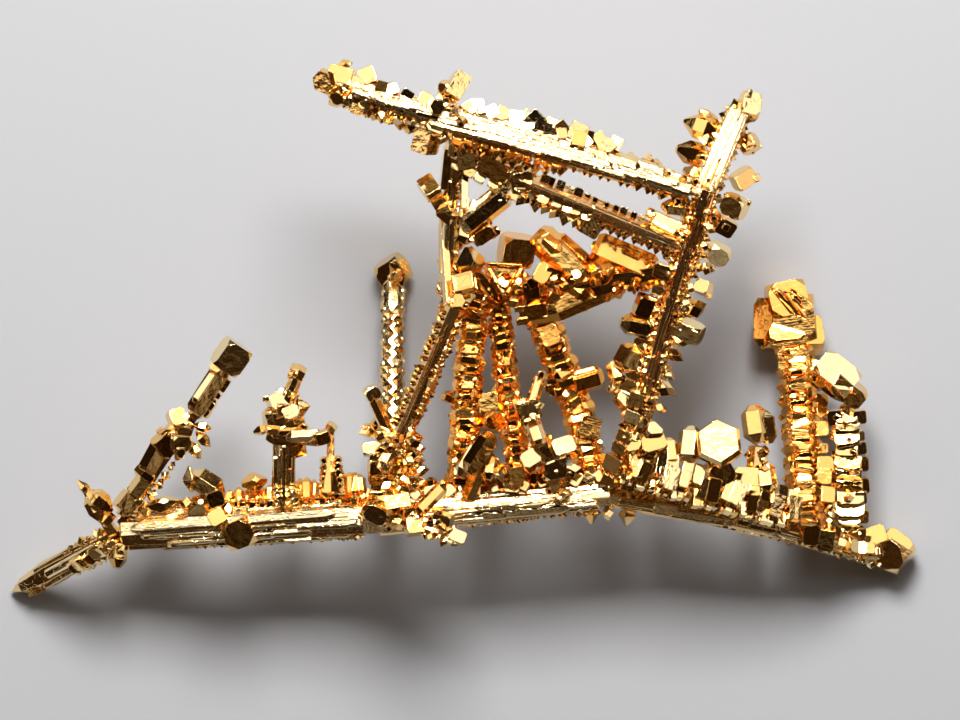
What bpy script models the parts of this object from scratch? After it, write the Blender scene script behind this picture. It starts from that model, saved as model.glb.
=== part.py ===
"""A branching specimen of crystallised gold, lying on its back.

+X runs along the base bar, +Y towards the rods that grow from it, +Z up. The origin is the middle
of the outline on the surface that the specimen rests on. Lengths below are in millimetres, angles
in degrees. Every branch is one solid: a faceted core with its crystals fused to it, cut back by
GAP where it meets a branch built before it.
"""

import math
import random

import bmesh
import bpy
from mathutils import Euler, Matrix, Vector

MM = 0.001  # Blender's metres in a millimetre
GAP = 0.03  # clearance between two branches at a fork
CORNER_SHARE = 1.5  # a corner moves this much further than its faces do when a shape is grown
TOWARDS_EYE = Vector((0.0, 0.0, 1.0))
FLAT_ANGLE = math.radians(0.6)  # faces of a crystal closer than this to one plane are one face
NEARLY_FLAT = math.radians(1.5)  # the same, where shapes have been joined
SAME_POINT = 4e-4  # points closer than this are one point
UNEVEN = 2.5  # every crystal is out of line by up to this angle

# Shape of a crystal: 1 is an octahedron, 2 a cuboctahedron, 3 a cube; in between, corners are cut
SHARP = 1.0
FACETED = 2.0
SQUARE = 3.0


def clear_scene():
    """Empties the startup scene."""
    for thing in list(bpy.data.objects):
        bpy.data.objects.remove(thing)


def gold(name, colour, roughness):
    """Polished metallic gold of one shade."""
    material = bpy.data.materials.new(name)
    material.use_nodes = True
    shader = material.node_tree.nodes["Principled BSDF"]
    shader.inputs["Base Color"].default_value = (*colour, 1.0)
    shader.inputs["Metallic"].default_value = 1.0
    shader.inputs["Roughness"].default_value = roughness
    material.diffuse_color = (*colour, 1.0)
    return material


def crystal_corners(cut):
    """The 24 corners of a cube of half size 1 whose corners are cut off: (1, cut - 1, 0) up to a
    cuboctahedron and (1, 1, cut - 2) beyond it, in every order and with every sign."""
    if cut <= 2.0:
        first, second, third = 1.0, cut - 1.0, 0.0
    else:
        first, second, third = 1.0, 1.0, cut - 2.0
    orders = {
        (first, second, third),
        (first, third, second),
        (second, first, third),
        (second, third, first),
        (third, first, second),
        (third, second, first),
    }
    signs = [(i, j, k) for i in (1, -1) for j in (1, -1) for k in (1, -1)]
    corners = {(a * i + 0.0, b * j + 0.0, c * k + 0.0) for a, b, c in orders for i, j, k in signs}
    return [Vector(corner) for corner in sorted(corners)]


def flatten(shape):
    """Splits bent faces into triangles, then joins those that share a plane."""
    bmesh.ops.triangulate(shape, faces=shape.faces[:])
    bmesh.ops.dissolve_limit(
        shape, angle_limit=FLAT_ANGLE, verts=shape.verts[:], edges=shape.edges[:]
    )


def crystal(centre, axes, half_sizes, cut):
    """A crystal with flat faces, stretched along three axes, as a bmesh in millimetres."""
    shape = bmesh.new()
    for corner in crystal_corners(cut):
        offset = Vector((0.0, 0.0, 0.0))
        for axis, half, share in zip(axes, half_sizes, corner):
            offset += axis * (half * share)
        shape.verts.new(centre + offset)
    bmesh.ops.remove_doubles(shape, verts=shape.verts[:], dist=SAME_POINT)
    bmesh.ops.convex_hull(shape, input=shape.verts[:])
    flatten(shape)
    bmesh.ops.recalc_face_normals(shape, faces=shape.faces[:])
    return shape


def faceted_bar(rings, start_point, end_point):
    """A closed bar through rings of points, each end a flat cap or a pyramid on a point."""
    shape = bmesh.new()
    loops = [[shape.verts.new(point) for point in ring] for ring in rings]
    for lower, upper in zip(loops, loops[1:]):
        for i in range(len(lower)):
            j = (i + 1) % len(lower)
            shape.faces.new((lower[i], lower[j], upper[j], upper[i]))
    for loop, point in ((loops[0], start_point), (loops[-1], end_point)):
        if point is None:
            shape.faces.new(loop)
            continue
        tip = shape.verts.new(point)
        for i in range(len(loop)):
            shape.faces.new((loop[i], loop[(i + 1) % len(loop)], tip))
    bmesh.ops.recalc_face_normals(shape, faces=shape.faces[:])
    flatten(shape)
    bmesh.ops.recalc_face_normals(shape, faces=shape.faces[:])
    return shape


class Branch:
    """A core that follows a path, and the crystals that grow from it."""

    def __init__(self, name, path):
        self.name = name
        self.path = [Vector(point) for point in path]
        self.chance = random.Random(name)
        self.shapes = []

    def place(self, along):
        """Centre, forward, side and front directions at a share of the path's length. Side points
        to the right of the path as the eye above sees it, front to the eye."""
        spans = [(b - a).length for a, b in zip(self.path, self.path[1:])]
        left = along * sum(spans)
        index = 0
        while index < len(spans) - 1 and left > spans[index]:
            left -= spans[index]
            index += 1
        forward = (self.path[index + 1] - self.path[index]).normalized()
        centre = self.path[index] + forward * left
        side = forward.cross(TOWARDS_EYE).normalized()
        return centre, forward, side, side.cross(forward)

    def ring(self, index, width, depth, sides, roll):
        """Points round one corner of the path, in the plane that halves the bend there."""
        before = self.path[index] - self.path[max(index - 1, 0)]
        after = self.path[min(index + 1, len(self.path) - 1)] - self.path[index]
        forward = (before.normalized() + after.normalized()).normalized()
        side = forward.cross(TOWARDS_EYE).normalized()
        front = side.cross(forward)
        turns = [math.radians(roll + 360.0 * i / sides) for i in range(sides)]
        return [
            self.path[index] + front * (math.cos(a) * depth) + side * (math.sin(a) * width)
            for a in turns
        ]

    def core(self, widths, depths, sides=6, roll=30.0, start_tip=0.0, end_tip=0.0):
        """A bar along the path with one half width and half depth for each of its points."""
        rings = [
            self.ring(i, width, depth, sides, roll)
            for i, (width, depth) in enumerate(zip(widths, depths))
        ]
        start = end = None
        if start_tip:
            start = self.path[0] - self.place(0.0)[1] * start_tip
        if end_tip:
            end = self.path[-1] + self.place(1.0)[1] * end_tip
        self.shapes.append(faceted_bar(rings, start, end))

    def ribbed_core(self, ribs, narrow, wide, depth_share=1.0, sides=6, roll=30.0):
        """A bar whose half width swings between narrow and wide, once for each rib."""
        rings = []
        for step in range(2 * ribs + 1):
            centre, forward, side, front = self.place(step / (2 * ribs))
            half = wide if step % 2 else narrow
            half *= 1.0 + self.chance.uniform(-0.1, 0.1)
            for i in range(sides):
                angle = math.radians(roll + 360.0 * i / sides)
                offset = front * (math.cos(angle) * half * depth_share)
                rings.append(centre + offset + side * (math.sin(angle) * half))
        loops = [rings[i : i + sides] for i in range(0, len(rings), sides)]
        self.shapes.append(faceted_bar(loops, None, None))

    def uneven(self):
        """A small turn of each crystal's own."""
        angles = [math.radians(self.chance.uniform(-UNEVEN, UNEVEN)) for _ in range(3)]
        return Euler(angles).to_matrix()

    def spike(self, along, around, reach, girth, lean=0.0, cut=SHARP, flat=1.0, turn=0.0):
        """A crystal that grows outwards from the path's line to reach. Around is 0 to the eye, 90
        to the right of the path and -90 to its left; lean tips it towards the path's end."""
        centre, forward, side, front = self.place(along)
        angle, tip = math.radians(around), math.radians(lean)
        outward = front * math.cos(angle) + side * math.sin(angle)
        axis = outward * math.cos(tip) + forward * math.sin(tip)
        across = (forward - axis * forward.dot(axis)).normalized()
        across = Matrix.Rotation(math.radians(turn), 3, axis) @ across
        uneven = self.uneven()
        axes = [uneven @ direction for direction in (axis, across, axis.cross(across))]
        sizes = (reach / 2.0, girth, girth * flat)
        self.shapes.append(crystal(centre + axis * (reach / 2.0), axes, sizes, cut))

    def row(self, start, end, count, around, reach, girth, lean=0.0, vary=0.15, **form):
        """Evenly spaced crystals along one side, each a little larger or smaller."""
        for i in range(count):
            along = start + (end - start) * i / max(count - 1, 1)
            size = 1.0 + self.chance.uniform(-vary, vary)
            tilt = lean + self.chance.uniform(-6.0, 6.0)
            self.spike(along, around, reach * size, girth * size, tilt, **form)

    def block(self, at, half_sizes, turn=(0.0, 0.0, 0.0), cut=FACETED):
        """A crystal at a place of its own, turned about X, Y and Z."""
        spin = self.uneven() @ Euler([math.radians(angle) for angle in turn]).to_matrix()
        axes = [spin @ Vector(axis) for axis in ((1, 0, 0), (0, 1, 0), (0, 0, 1))]
        self.shapes.append(crystal(Vector(at), axes, half_sizes, cut))

    def grain(self, along, around, out, half_sizes, turn=(0.0, 0.0, 0.0), cut=SQUARE):
        """A crystal whose first size lies along the path, out from its line by a distance."""
        centre, forward, side, front = self.place(along)
        angle = math.radians(around)
        outward = front * math.cos(angle) + side * math.sin(angle)
        level = outward.cross(forward)
        spin = self.uneven() @ Euler([math.radians(part) for part in turn]).to_matrix()
        frame = Matrix((forward, level, outward)).transposed()
        axes = [frame @ (spin @ Vector(axis)) for axis in ((1, 0, 0), (0, 1, 0), (0, 0, 1))]
        self.shapes.append(crystal(centre + outward * out, axes, half_sizes, cut))

    def twig(self, start, end, half, tip=0.2, sides=6):
        """A short straight bar of its own, which ends in a point."""
        side_branch = Branch(self.name, [start, end])
        side_branch.core([half, half * 0.8], [half, half * 0.8], sides=sides, end_tip=tip)
        self.shapes += side_branch.shapes


def as_object(name, shape, helper=True):
    """Puts a bmesh in millimetres into the scene in metres."""
    mesh = bpy.data.meshes.new(name)
    shape.to_mesh(mesh)
    mesh.transform(Matrix.Scale(MM, 4))
    thing = bpy.data.objects.new(name, mesh)
    bpy.context.scene.collection.objects.link(thing)
    if helper:
        thing.hide_render = True
        thing.display_type = "WIRE"
    return thing


def grown(shape, gap):
    """The shape with every face moved outwards by about a gap."""
    larger = shape.copy()
    larger.normal_update()
    moves = [(vertex, vertex.normal * (gap * CORNER_SHARE)) for vertex in larger.verts]
    for vertex, move in moves:
        vertex.co += move
    return larger


def bounds(shape):
    """Lowest and highest corner of a bmesh."""
    low = Vector([min(v.co[k] for v in shape.verts) for k in range(3)])
    high = Vector([max(v.co[k] for v in shape.verts) for k in range(3)])
    return low, high


def meet(first, second):
    """Whether two boxes share space, with a gap to spare."""
    return all(
        first[0][k] - 2 * GAP < second[1][k] and second[0][k] - 2 * GAP < first[1][k]
        for k in range(3)
    )


def keep_largest(shape):
    """Drops the crumbs that a neighbour has cut off a branch."""
    left = set(shape.faces)
    islands = []
    while left:
        stack = [left.pop()]
        island = set(stack)
        while stack:
            face = stack.pop()
            for edge in face.edges:
                for other in edge.link_faces:
                    if other in left:
                        left.remove(other)
                        island.add(other)
                        stack.append(other)
        islands.append(island)
    largest = max(islands, key=lambda island: sum(face.calc_area() for face in island))
    crumbs = [face for face in shape.faces if face not in largest]
    if crumbs:
        bmesh.ops.delete(shape, geom=crumbs, context="FACES")


def fuse(branch, neighbours, material):
    """Joins a branch's shapes, cuts it back from its neighbours and from the floor."""
    first, *others = branch.shapes
    body = as_object(branch.name, first, helper=False)
    tools = []
    for shape in others:
        tools.append((as_object(branch.name + "_part", shape), "UNION"))
    boxes = [bounds(shape) for shape in branch.shapes]
    for neighbour in neighbours:
        for shape in neighbour.shapes:
            larger = grown(shape, GAP)
            if any(meet(bounds(larger), box) for box in boxes):
                tools.append((as_object(branch.name + "_cutter", larger), "DIFFERENCE"))
    for tool, operation in tools:
        modifier = body.modifiers.new(operation.lower(), "BOOLEAN")
        modifier.object = tool
        modifier.operation = operation
        modifier.solver = "EXACT"
    graph = bpy.context.evaluated_depsgraph_get()
    mesh = bpy.data.meshes.new_from_object(body.evaluated_get(graph))
    body.modifiers.clear()
    for tool, _ in tools:
        bpy.data.objects.remove(tool)
    shape = bmesh.new()
    shape.from_mesh(mesh)
    shape.transform(Matrix.Scale(1.0 / MM, 4))
    cut = bmesh.ops.bisect_plane(
        shape,
        geom=shape.verts[:] + shape.edges[:] + shape.faces[:],
        dist=SAME_POINT,
        plane_co=(0.0, 0.0, 0.0),
        plane_no=(0.0, 0.0, 1.0),
        clear_inner=True,
    )
    rim = [part for part in cut["geom_cut"] if isinstance(part, bmesh.types.BMEdge)]
    if rim:
        bmesh.ops.holes_fill(shape, edges=rim)
    keep_largest(shape)
    bmesh.ops.remove_doubles(shape, verts=shape.verts[:], dist=SAME_POINT)
    bmesh.ops.dissolve_limit(
        shape, angle_limit=NEARLY_FLAT, verts=shape.verts[:], edges=shape.edges[:]
    )
    bmesh.ops.triangulate(shape, faces=shape.faces[:])
    shape.transform(Matrix.Scale(MM, 4))
    shape.to_mesh(body.data)
    body.data.materials.clear()
    body.data.materials.append(material)
    return body


def base_bar_left():
    """Thick striated left half of the base bar, with the crystals that stand on it."""
    bar = Branch("base_bar_left", [(-8.1, -4.95, 2.2), (-5.2, -4.75, 2.6), (-2.3, -4.6, 2.9)])
    bar.core([0.42, 0.5, 0.48], [0.42, 0.5, 0.48], roll=0.0, start_tip=0.25)
    bar.grain(0.30, -30, 0.42, (1.4, 0.16, 0.14))
    bar.grain(0.70, 25, 0.42, (1.5, 0.20, 0.14))
    bar.spike(0.465, 18, 0.85, 0.34, cut=FACETED, turn=35)
    bar.spike(0.42, 75, 0.7, 0.24)
    bar.spike(0.33, -70, 1.15, 0.40, lean=4, cut=FACETED, flat=0.8)
    bar.spike(0.30, -88, 1.6, 0.32, lean=-8)
    bar.spike(0.37, -85, 1.4, 0.26, lean=12)
    bar.spike(0.16, -80, 0.9, 0.42, flat=0.7)
    bar.row(0.46, 0.56, 2, -82, 0.95, 0.26)
    bar.row(0.71, 0.79, 2, -78, 1.05, 0.24)
    bar.row(0.89, 0.98, 2, -80, 1.25, 0.3)
    bar.twig((-3.1, -4.4, 3.0), (-3.1, -2.75, 3.1), 0.14, sides=4)
    bar.block((-3.1, -2.48, 3.1), (0.17, 0.26, 0.17), (0, 0, 10), FACETED)
    bar.spike(0.5, 170, 0.85, 0.4)
    return bar


def base_bar_middle():
    """Middle of the base bar, striated, with a hedge of small crystals along its top."""
    bar = Branch("base_bar_middle", [(-2.4, -4.6, 2.9), (0.6, -4.35, 3.05), (3.6, -4.05, 3.1)])
    bar.core([0.46, 0.42, 0.34], [0.44, 0.4, 0.34], roll=0.0)
    bar.grain(0.58, 22, 0.33, (2.0, 0.13, 0.14))
    bar.row(0.14, 0.28, 2, -60, 0.7, 0.26)
    bar.row(0.36, 0.64, 3, -70, 0.78, 0.28)
    bar.row(0.76, 0.94, 2, -66, 0.78, 0.3)
    bar.twig((0.2, -4.2, 3.3), (0.62, -2.95, 4.05), 0.22)
    bar.block((0.68, -2.85, 4.1), (0.25, 0.28, 0.24), (10, 0, -25), FACETED)
    bar.block((0.95, -3.45, 3.75), (0.22, 0.26, 0.22), (0, 0, 10), FACETED)
    bar.spike(0.5, 175, 0.65, 0.38)
    return bar


def base_bar_right():
    """Right part of the base bar, which thins and bends down to the surface at its end crystal."""
    path = [(3.5, -4.05, 3.1), (6.2, -4.5, 2.6), (8.1, -4.95, 1.85), (9.5, -5.4, 1.0), (10.2, -5.6, 0.5)]
    bar = Branch("base_bar_right", path)
    bar.core([0.32, 0.29, 0.26, 0.22, 0.2], [0.32, 0.29, 0.26, 0.24, 0.22], roll=0.0)
    bar.block((10.4, -5.42, 0.43), (0.5, 0.46, 0.52), (0, 0, -35), 1.6)
    bar.block((9.95, -5.05, 0.75), (0.24, 0.22, 0.24), (20, 0, 20), FACETED)
    bar.spike(0.03, 72, 0.64, 0.24)
    bar.spike(0.065, 92, 0.7, 0.24, lean=-20, cut=FACETED)
    bar.row(0.68, 0.88, 3, -75, 0.55, 0.22)
    bar.twig((8.88, -5.1, 1.55), (8.9, -4.3, 1.75), 0.14, tip=0.12, sides=4)
    bar.row(0.3, 0.65, 2, 178, 0.5, 0.26)
    return bar


def left_blade():
    """Pointed left end of the base bar, which bends down to the surface, and the spurs at its root."""
    path = [(-8.3, -5.05, 2.15), (-9.1, -5.5, 1.5), (-9.9, -5.95, 0.75), (-10.5, -6.25, 0.22)]
    blade = Branch("left_blade", path)
    blade.core([0.3, 0.33, 0.36, 0.25], [0.3, 0.32, 0.34, 0.32], roll=30.0, end_tip=0.45)
    blade.row(0.05, 0.38, 3, -80, 0.56, 0.22)
    blade.row(0.08, 0.3, 2, -20, 0.5, 0.22)
    blade.spike(0.25, 80, 0.52, 0.24)
    blade.twig((-8.3, -4.95, 2.3), (-9.0, -3.95, 2.75), 0.2, tip=0.3)
    blade.block((-8.72, -4.25, 2.65), (0.24, 0.32, 0.2), (0, 0, 40), SHARP)
    blade.block((-8.2, -5.5, 2.25), (0.19, 0.38, 0.2), (0, 10, 0), FACETED)
    return blade


def left_rod():
    """Leaning rod at the left, a pile of blocks with a blocky head."""
    rod = Branch("left_rod", [(-8.15, -4.75, 2.4), (-5.45, -0.75, 3.35)])
    rod.core([0.2, 0.2], [0.2, 0.2], sides=4)
    rod.grain(0.22, 0, 0.0, (0.5, 0.25, 0.23), (0, 0, 6))
    rod.grain(0.38, 0, 0.0, (0.26, 0.26, 0.26), (30, 0, 0), FACETED)
    rod.grain(0.49, 0, 0.0, (0.5, 0.27, 0.25), (10, 0, -5))
    rod.grain(0.80, 0, 0.0, (0.85, 0.26, 0.24), (25, 0, 0))
    rod.grain(0.99, 0, 0.02, (0.36, 0.33, 0.3), (35, 10, 20))
    rod.row(0.47, 0.62, 2, 88, 0.56, 0.2, lean=-15)
    rod.row(0.58, 0.68, 2, -88, 0.56, 0.26)
    rod.spike(0.62, -10, 0.5, 0.28, cut=FACETED, turn=45)
    rod.spike(0.24, 90, 0.46, 0.22)
    return rod


def squat_rod():
    """Short thick rod with a rough collar, a side arm and a small tilted top."""
    path = [(-4.25, -4.3, 3.0), (-4.22, -2.5, 3.45), (-4.15, -1.75, 3.6), (-3.9, -1.15, 3.75)]
    rod = Branch("squat_rod", path)
    rod.core([0.24, 0.24, 0.22, 0.2], [0.22, 0.22, 0.22, 0.2], sides=4, roll=30.0)
    rod.spike(0.66, -85, 0.5, 0.24)
    rod.spike(0.68, 85, 0.5, 0.22)
    rod.block((-4.2, -2.2, 3.5), (0.36, 0.32, 0.34), (10, 20, 15), FACETED)
    rod.block((-4.15, -1.85, 3.6), (0.3, 0.26, 0.3), (30, 0, 40), FACETED)
    rod.grain(1.0, 0, 0.0, (0.26, 0.2, 0.2), (30, 0, 10))
    rod.spike(0.48, -90, 0.45, 0.15)
    rod.spike(0.41, 90, 0.58, 0.18, lean=-10)
    rod.spike(0.81, 60, 0.42, 0.18, lean=10)
    rod.twig((-4.15, -2.75, 3.5), (-3.35, -2.68, 3.9), 0.12, tip=0.1, sides=4)
    rod.block((-3.3, -2.66, 3.92), (0.17, 0.14, 0.14), (0, 0, 15), SQUARE)
    return rod


def tall_rod():
    """Slim rod with two rows of pyramids down its front, which leans back to the surface."""
    rod = Branch("tall_rod", [(-1.62, -4.4, 2.55), (-1.62, -1.0, 1.35), (-1.6, 1.1, 0.55)])
    rod.core([0.27, 0.27, 0.27], [0.24, 0.24, 0.24])
    rod.row(0.39, 0.76, 5, -40, 0.39, 0.24, vary=0.08)
    rod.row(0.435, 0.80, 5, 40, 0.39, 0.24, vary=0.08)
    rod.block((-1.6, 1.28, 0.4), (0.31, 0.36, 0.46), (0, 0, 8), 2.6)
    rod.spike(0.5, 180, 0.42, 0.24)
    return rod


def dark_strut():
    """Grooved strut that leans from the base bar to the left column, and the crystals at its foot."""
    strut = Branch("dark_strut", [(-1.62, -3.1, 3.5), (-0.1, 0.45, 4.55)])
    strut.core([0.24, 0.25], [0.22, 0.24], roll=0.0)
    strut.row(0.36, 0.84, 4, -92, 0.44, 0.2, vary=0.08)
    strut.spike(0.7, 84, 0.44, 0.24)
    foot = Branch("dark_strut_foot", [(-1.45, -4.3, 3.1), (-1.55, -2.6, 3.6)])
    foot.core([0.34, 0.28], [0.3, 0.26])
    foot.row(0.15, 0.6, 2, -80, 0.66, 0.3)
    foot.row(0.25, 0.8, 2, 20, 0.55, 0.28)
    foot.row(0.2, 0.7, 2, 95, 0.7, 0.28)
    foot.spike(0.85, -88, 0.95, 0.26, lean=5, flat=0.7)
    foot.spike(1.0, 92, 0.75, 0.22, cut=FACETED)
    foot.twig((-1.6, -2.8, 3.35), (-2.08, -1.75, 3.3), 0.14, tip=0.1, sides=4)
    foot.block((-2.1, -1.68, 3.3), (0.2, 0.22, 0.18), (0, 0, 30), FACETED)
    strut.shapes += foot.shapes
    return strut


def left_column():
    """Left upright of the upper frame, with a pale edge bar and large crystals on both sides."""
    column = Branch("left_column", [(-0.28, 0.2, 4.1), (-0.2, 2.7, 4.6), (-0.1, 4.1, 4.95)])
    column.core([0.17, 0.17, 0.2], [0.3, 0.25, 0.25], sides=4, roll=45.0)
    column.block((-0.12, 3.95, 4.95), (0.22, 0.55, 0.3), (0, 10, -5), SQUARE)
    column.block((-0.25, 4.55, 5.3), (0.25, 0.35, 0.32), (20, 0, 15), FACETED)
    column.block((-0.62, 3.18, 4.75), (0.22, 0.3, 0.22), (0, 0, 35), SQUARE)
    column.block((-0.36, 2.8, 4.85), (0.3, 0.32, 0.3), (0, 20, 0), SHARP)
    column.block((0.15, 2.2, 4.75), (0.34, 0.3, 0.3), (20, 0, 40), FACETED)
    column.block((0.45, 2.25, 4.7), (0.3, 0.2, 0.2), (0, 0, 35), FACETED)
    column.block((0.25, 1.5, 4.7), (0.36, 0.44, 0.36), (0, 15, 10), 1.5)
    column.block((0.08, 1.02, 4.95), (0.26, 0.24, 0.24), (15, -20, 12), SQUARE)
    column.block((0.02, 0.66, 4.9), (0.26, 0.22, 0.26), (40, 20, 20), FACETED)
    column.twig((0.1, 2.4, 4.85), (1.1, 3.2, 5.1), 0.28, tip=0.15)
    column.block((0.35, 2.75, 4.95), (0.24, 0.28, 0.26), (0, 0, 8), FACETED)
    return column


def upper_beam():
    """Upper cross beam, broad and bright, with crystals along its top and teeth below."""
    path = [(-3.2, 5.85, 6.0), (-1.4, 5.22, 5.85), (1.0, 4.62, 5.65), (3.35, 3.95, 5.5), (5.8, 3.2, 5.4)]
    beam = Branch("upper_beam", path)
    beam.core([0.24, 0.34, 0.42, 0.36, 0.14], [0.26, 0.34, 0.4, 0.34, 0.16], roll=0.0)
    beam.grain(0.03, 0, 0.0, (0.3, 0.33, 0.33), (30, 0, 10), FACETED)
    beam.row(0.10, 0.26, 3, -80, 0.6, 0.26)
    beam.spike(0.18, -15, 0.48, 0.26)
    beam.row(0.13, 0.24, 2, 80, 0.48, 0.22)
    beam.spike(0.30, -8, 0.66, 0.27, cut=FACETED, turn=20)
    beam.spike(0.32, -88, 0.98, 0.24, lean=26, cut=SQUARE, flat=0.8)
    beam.spike(0.30, 100, 0.95, 0.26, lean=-22, cut=1.6)
    beam.row(0.37, 0.48, 3, -84, 0.66, 0.25)
    beam.row(0.55, 0.68, 3, -82, 0.68, 0.3)
    beam.row(0.43, 0.55, 2, 85, 0.6, 0.28)
    beam.row(0.66, 0.84, 3, 88, 0.46, 0.22, vary=0.08)
    beam.spike(0.5, 180, 0.55, 0.3)
    return beam


def lower_beam():
    """Lower cross beam, dark and grooved, with a comb of crystals under it."""
    beam = Branch("lower_beam", [(-0.2, 4.3, 5.0), (1.6, 3.45, 5.1), (5.4, 1.9, 4.98)])
    beam.core([0.28, 0.26, 0.24], [0.26, 0.24, 0.22], roll=0.0)
    beam.block((0.1, 4.12, 5.1), (0.28, 0.3, 0.28), (20, 0, 10), SQUARE)
    beam.block((0.85, 3.78, 5.1), (0.36, 0.24, 0.3), (0, 20, -30), FACETED)
    beam.block((1.5, 3.55, 5.15), (0.26, 0.32, 0.3), (30, 0, 10), FACETED)
    beam.row(0.1, 0.25, 2, 92, 0.56, 0.27)
    beam.row(0.40, 0.52, 3, 92, 0.6, 0.22)
    beam.spike(0.60, 95, 0.72, 0.24, cut=SQUARE, lean=-25)
    beam.row(0.68, 0.86, 3, 90, 0.45, 0.2)
    beam.spike(0.56, -92, 0.4, 0.22)
    return beam


def right_column_top():
    """Bright striated top of the right upright, which leans back, with crystals to its left."""
    column = Branch("right_column_top", [(5.8, 3.0, 5.3), (6.78, 5.3, 4.75)])
    column.core([0.28, 0.3], [0.22, 0.24])
    column.grain(1.0, 0, 0.0, (0.2, 0.34, 0.28), (0, 0, 8))
    column.spike(0.76, -88, 1.32, 0.3, lean=-6, cut=1.5, flat=0.8)
    column.spike(0.67, -74, 0.8, 0.26, lean=-12)
    column.spike(0.42, -90, 1.15, 0.32, lean=4, cut=1.5, flat=0.8)
    column.spike(0.55, -84, 0.85, 0.27)
    column.spike(0.26, -84, 0.8, 0.25)
    column.spike(0.61, 92, 0.66, 0.24, lean=-10)
    column.spike(0.24, 92, 0.85, 0.24, lean=-8)
    column.row(0.42, 0.82, 2, 84, 0.44, 0.18)
    return column


def right_column():
    """Dark grooved right upright, with prisms to its left and stacked plates to its right."""
    path = [(3.66, -3.85, 3.2), (4.35, -2.0, 3.95), (5.1, 0.6, 4.7), (5.95, 3.3, 5.35)]
    column = Branch("right_column", path)
    column.core([0.24, 0.26, 0.32, 0.3], [0.24, 0.26, 0.28, 0.26], roll=0.0)
    column.spike(0.93, -88, 1.05, 0.24, lean=4)
    column.spike(0.87, -86, 1.3, 0.16, lean=8, cut=SQUARE)
    column.spike(0.59, -90, 0.95, 0.19, lean=6, cut=SQUARE, turn=20)
    column.spike(0.53, -86, 1.1, 0.26, lean=8)
    column.spike(0.44, -88, 1.15, 0.25, lean=12, cut=SQUARE, turn=15)
    column.spike(0.37, -86, 1.0, 0.3, lean=18)
    column.spike(0.74, -80, 0.62, 0.22)
    column.spike(0.30, -95, 0.62, 0.24)
    column.row(0.89, 0.95, 2, 88, 1.0, 0.2, lean=-6)
    column.spike(0.83, 90, 0.76, 0.22)
    column.spike(0.77, 88, 0.88, 0.26, lean=-8, cut=1.6)
    column.spike(0.68, 90, 0.68, 0.24, lean=-8)
    column.spike(0.58, 92, 0.92, 0.32, lean=-6, cut=FACETED)
    column.row(0.37, 0.5, 2, 90, 0.7, 0.26, lean=-8)
    column.spike(0.22, 80, 0.7, 0.32, lean=20)
    column.spike(0.16, 70, 0.78, 0.27, lean=-5, cut=FACETED)
    column.spike(0.22, 0, 0.46, 0.26)
    return column


def wing():
    """Fan of plates and prisms that hangs between the two uprights."""
    fan = Branch("wing", [(0.3, 1.1, 4.25), (2.4, 0.75, 3.9), (5.05, 1.35, 4.62)])
    fan.core([0.28, 0.42, 0.2], [0.22, 0.25, 0.2], sides=4, roll=45.0)
    fan.block((0.95, 1.05, 4.2), (0.5, 0.36, 0.28), (15, 10, 40), SHARP)
    fan.block((0.72, 0.9, 4.3), (0.18, 0.6, 0.2), (0, 0, 35), SQUARE)
    fan.block((1.4, 1.75, 4.05), (0.42, 0.46, 0.34), (10, 25, -12), FACETED)
    fan.block((2.45, 1.7, 4.2), (0.26, 0.78, 0.26), (0, 15, 38), SQUARE)
    fan.block((1.95, 2.0, 4.2), (0.36, 0.3, 0.3), (10, 0, 38), FACETED)
    fan.block((3.85, 1.55, 4.35), (0.8, 0.24, 0.26), (15, 0, -22), SQUARE)
    fan.block((3.45, 1.9, 4.25), (0.5, 0.2, 0.22), (10, 0, 6), FACETED)
    fan.block((3.4, 0.95, 4.1), (1.3, 0.18, 0.2), (0, 0, 22), SQUARE)
    fan.block((2.7, 0.95, 4.2), (0.6, 0.3, 0.22), (20, 0, -40), FACETED)
    fan.block((1.55, 0.85, 4.2), (0.34, 0.3, 0.3), (25, 15, 30), SQUARE)
    fan.block((1.75, 0.35, 4.1), (0.4, 0.22, 0.24), (0, 0, 10), SQUARE)
    return fan


def ribbed_rod_left():
    """Ribbed rod behind the dark strut."""
    rod = Branch("ribbed_rod_left", [(0.0, -4.15, 2.95), (0.3, 0.2, 3.75), (0.42, 0.85, 4.05)])
    rod.ribbed_core(8, 0.22, 0.37, depth_share=0.8, sides=5)
    rod.spike(0.46, 88, 0.88, 0.26, cut=FACETED)
    rod.spike(0.37, 86, 0.95, 0.28, cut=FACETED)
    rod.spike(0.50, -88, 0.68, 0.22)
    return rod


def ribbed_rod_middle():
    """Slender ribbed rod between the two stouter ones."""
    rod = Branch("ribbed_rod_middle", [(1.5, -4.05, 2.9), (1.2, -1.8, 3.1), (0.85, 0.85, 3.85)])
    rod.ribbed_core(8, 0.17, 0.28, depth_share=0.85, sides=4)
    rod.spike(0.42, 60, 0.62, 0.28, cut=FACETED)
    rod.spike(0.46, -88, 0.62, 0.2)
    return rod


def ribbed_rod_right():
    """Stout ribbed rod that leans from the base bar to the fan."""
    rod = Branch("ribbed_rod_right", [(3.3, -3.95, 2.95), (2.8, -1.9, 3.1), (1.85, 0.5, 3.8)])
    rod.ribbed_core(7, 0.28, 0.42, depth_share=0.8, sides=5)
    rod.spike(0.72, 0, 0.5, 0.24, cut=SQUARE, turn=20)
    rod.spike(0.56, -70, 0.58, 0.3)
    rod.spike(0.52, 88, 0.9, 0.3, lean=10, cut=FACETED)
    rod.spike(0.33, 20, 0.5, 0.26, cut=SQUARE)
    return rod


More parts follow.
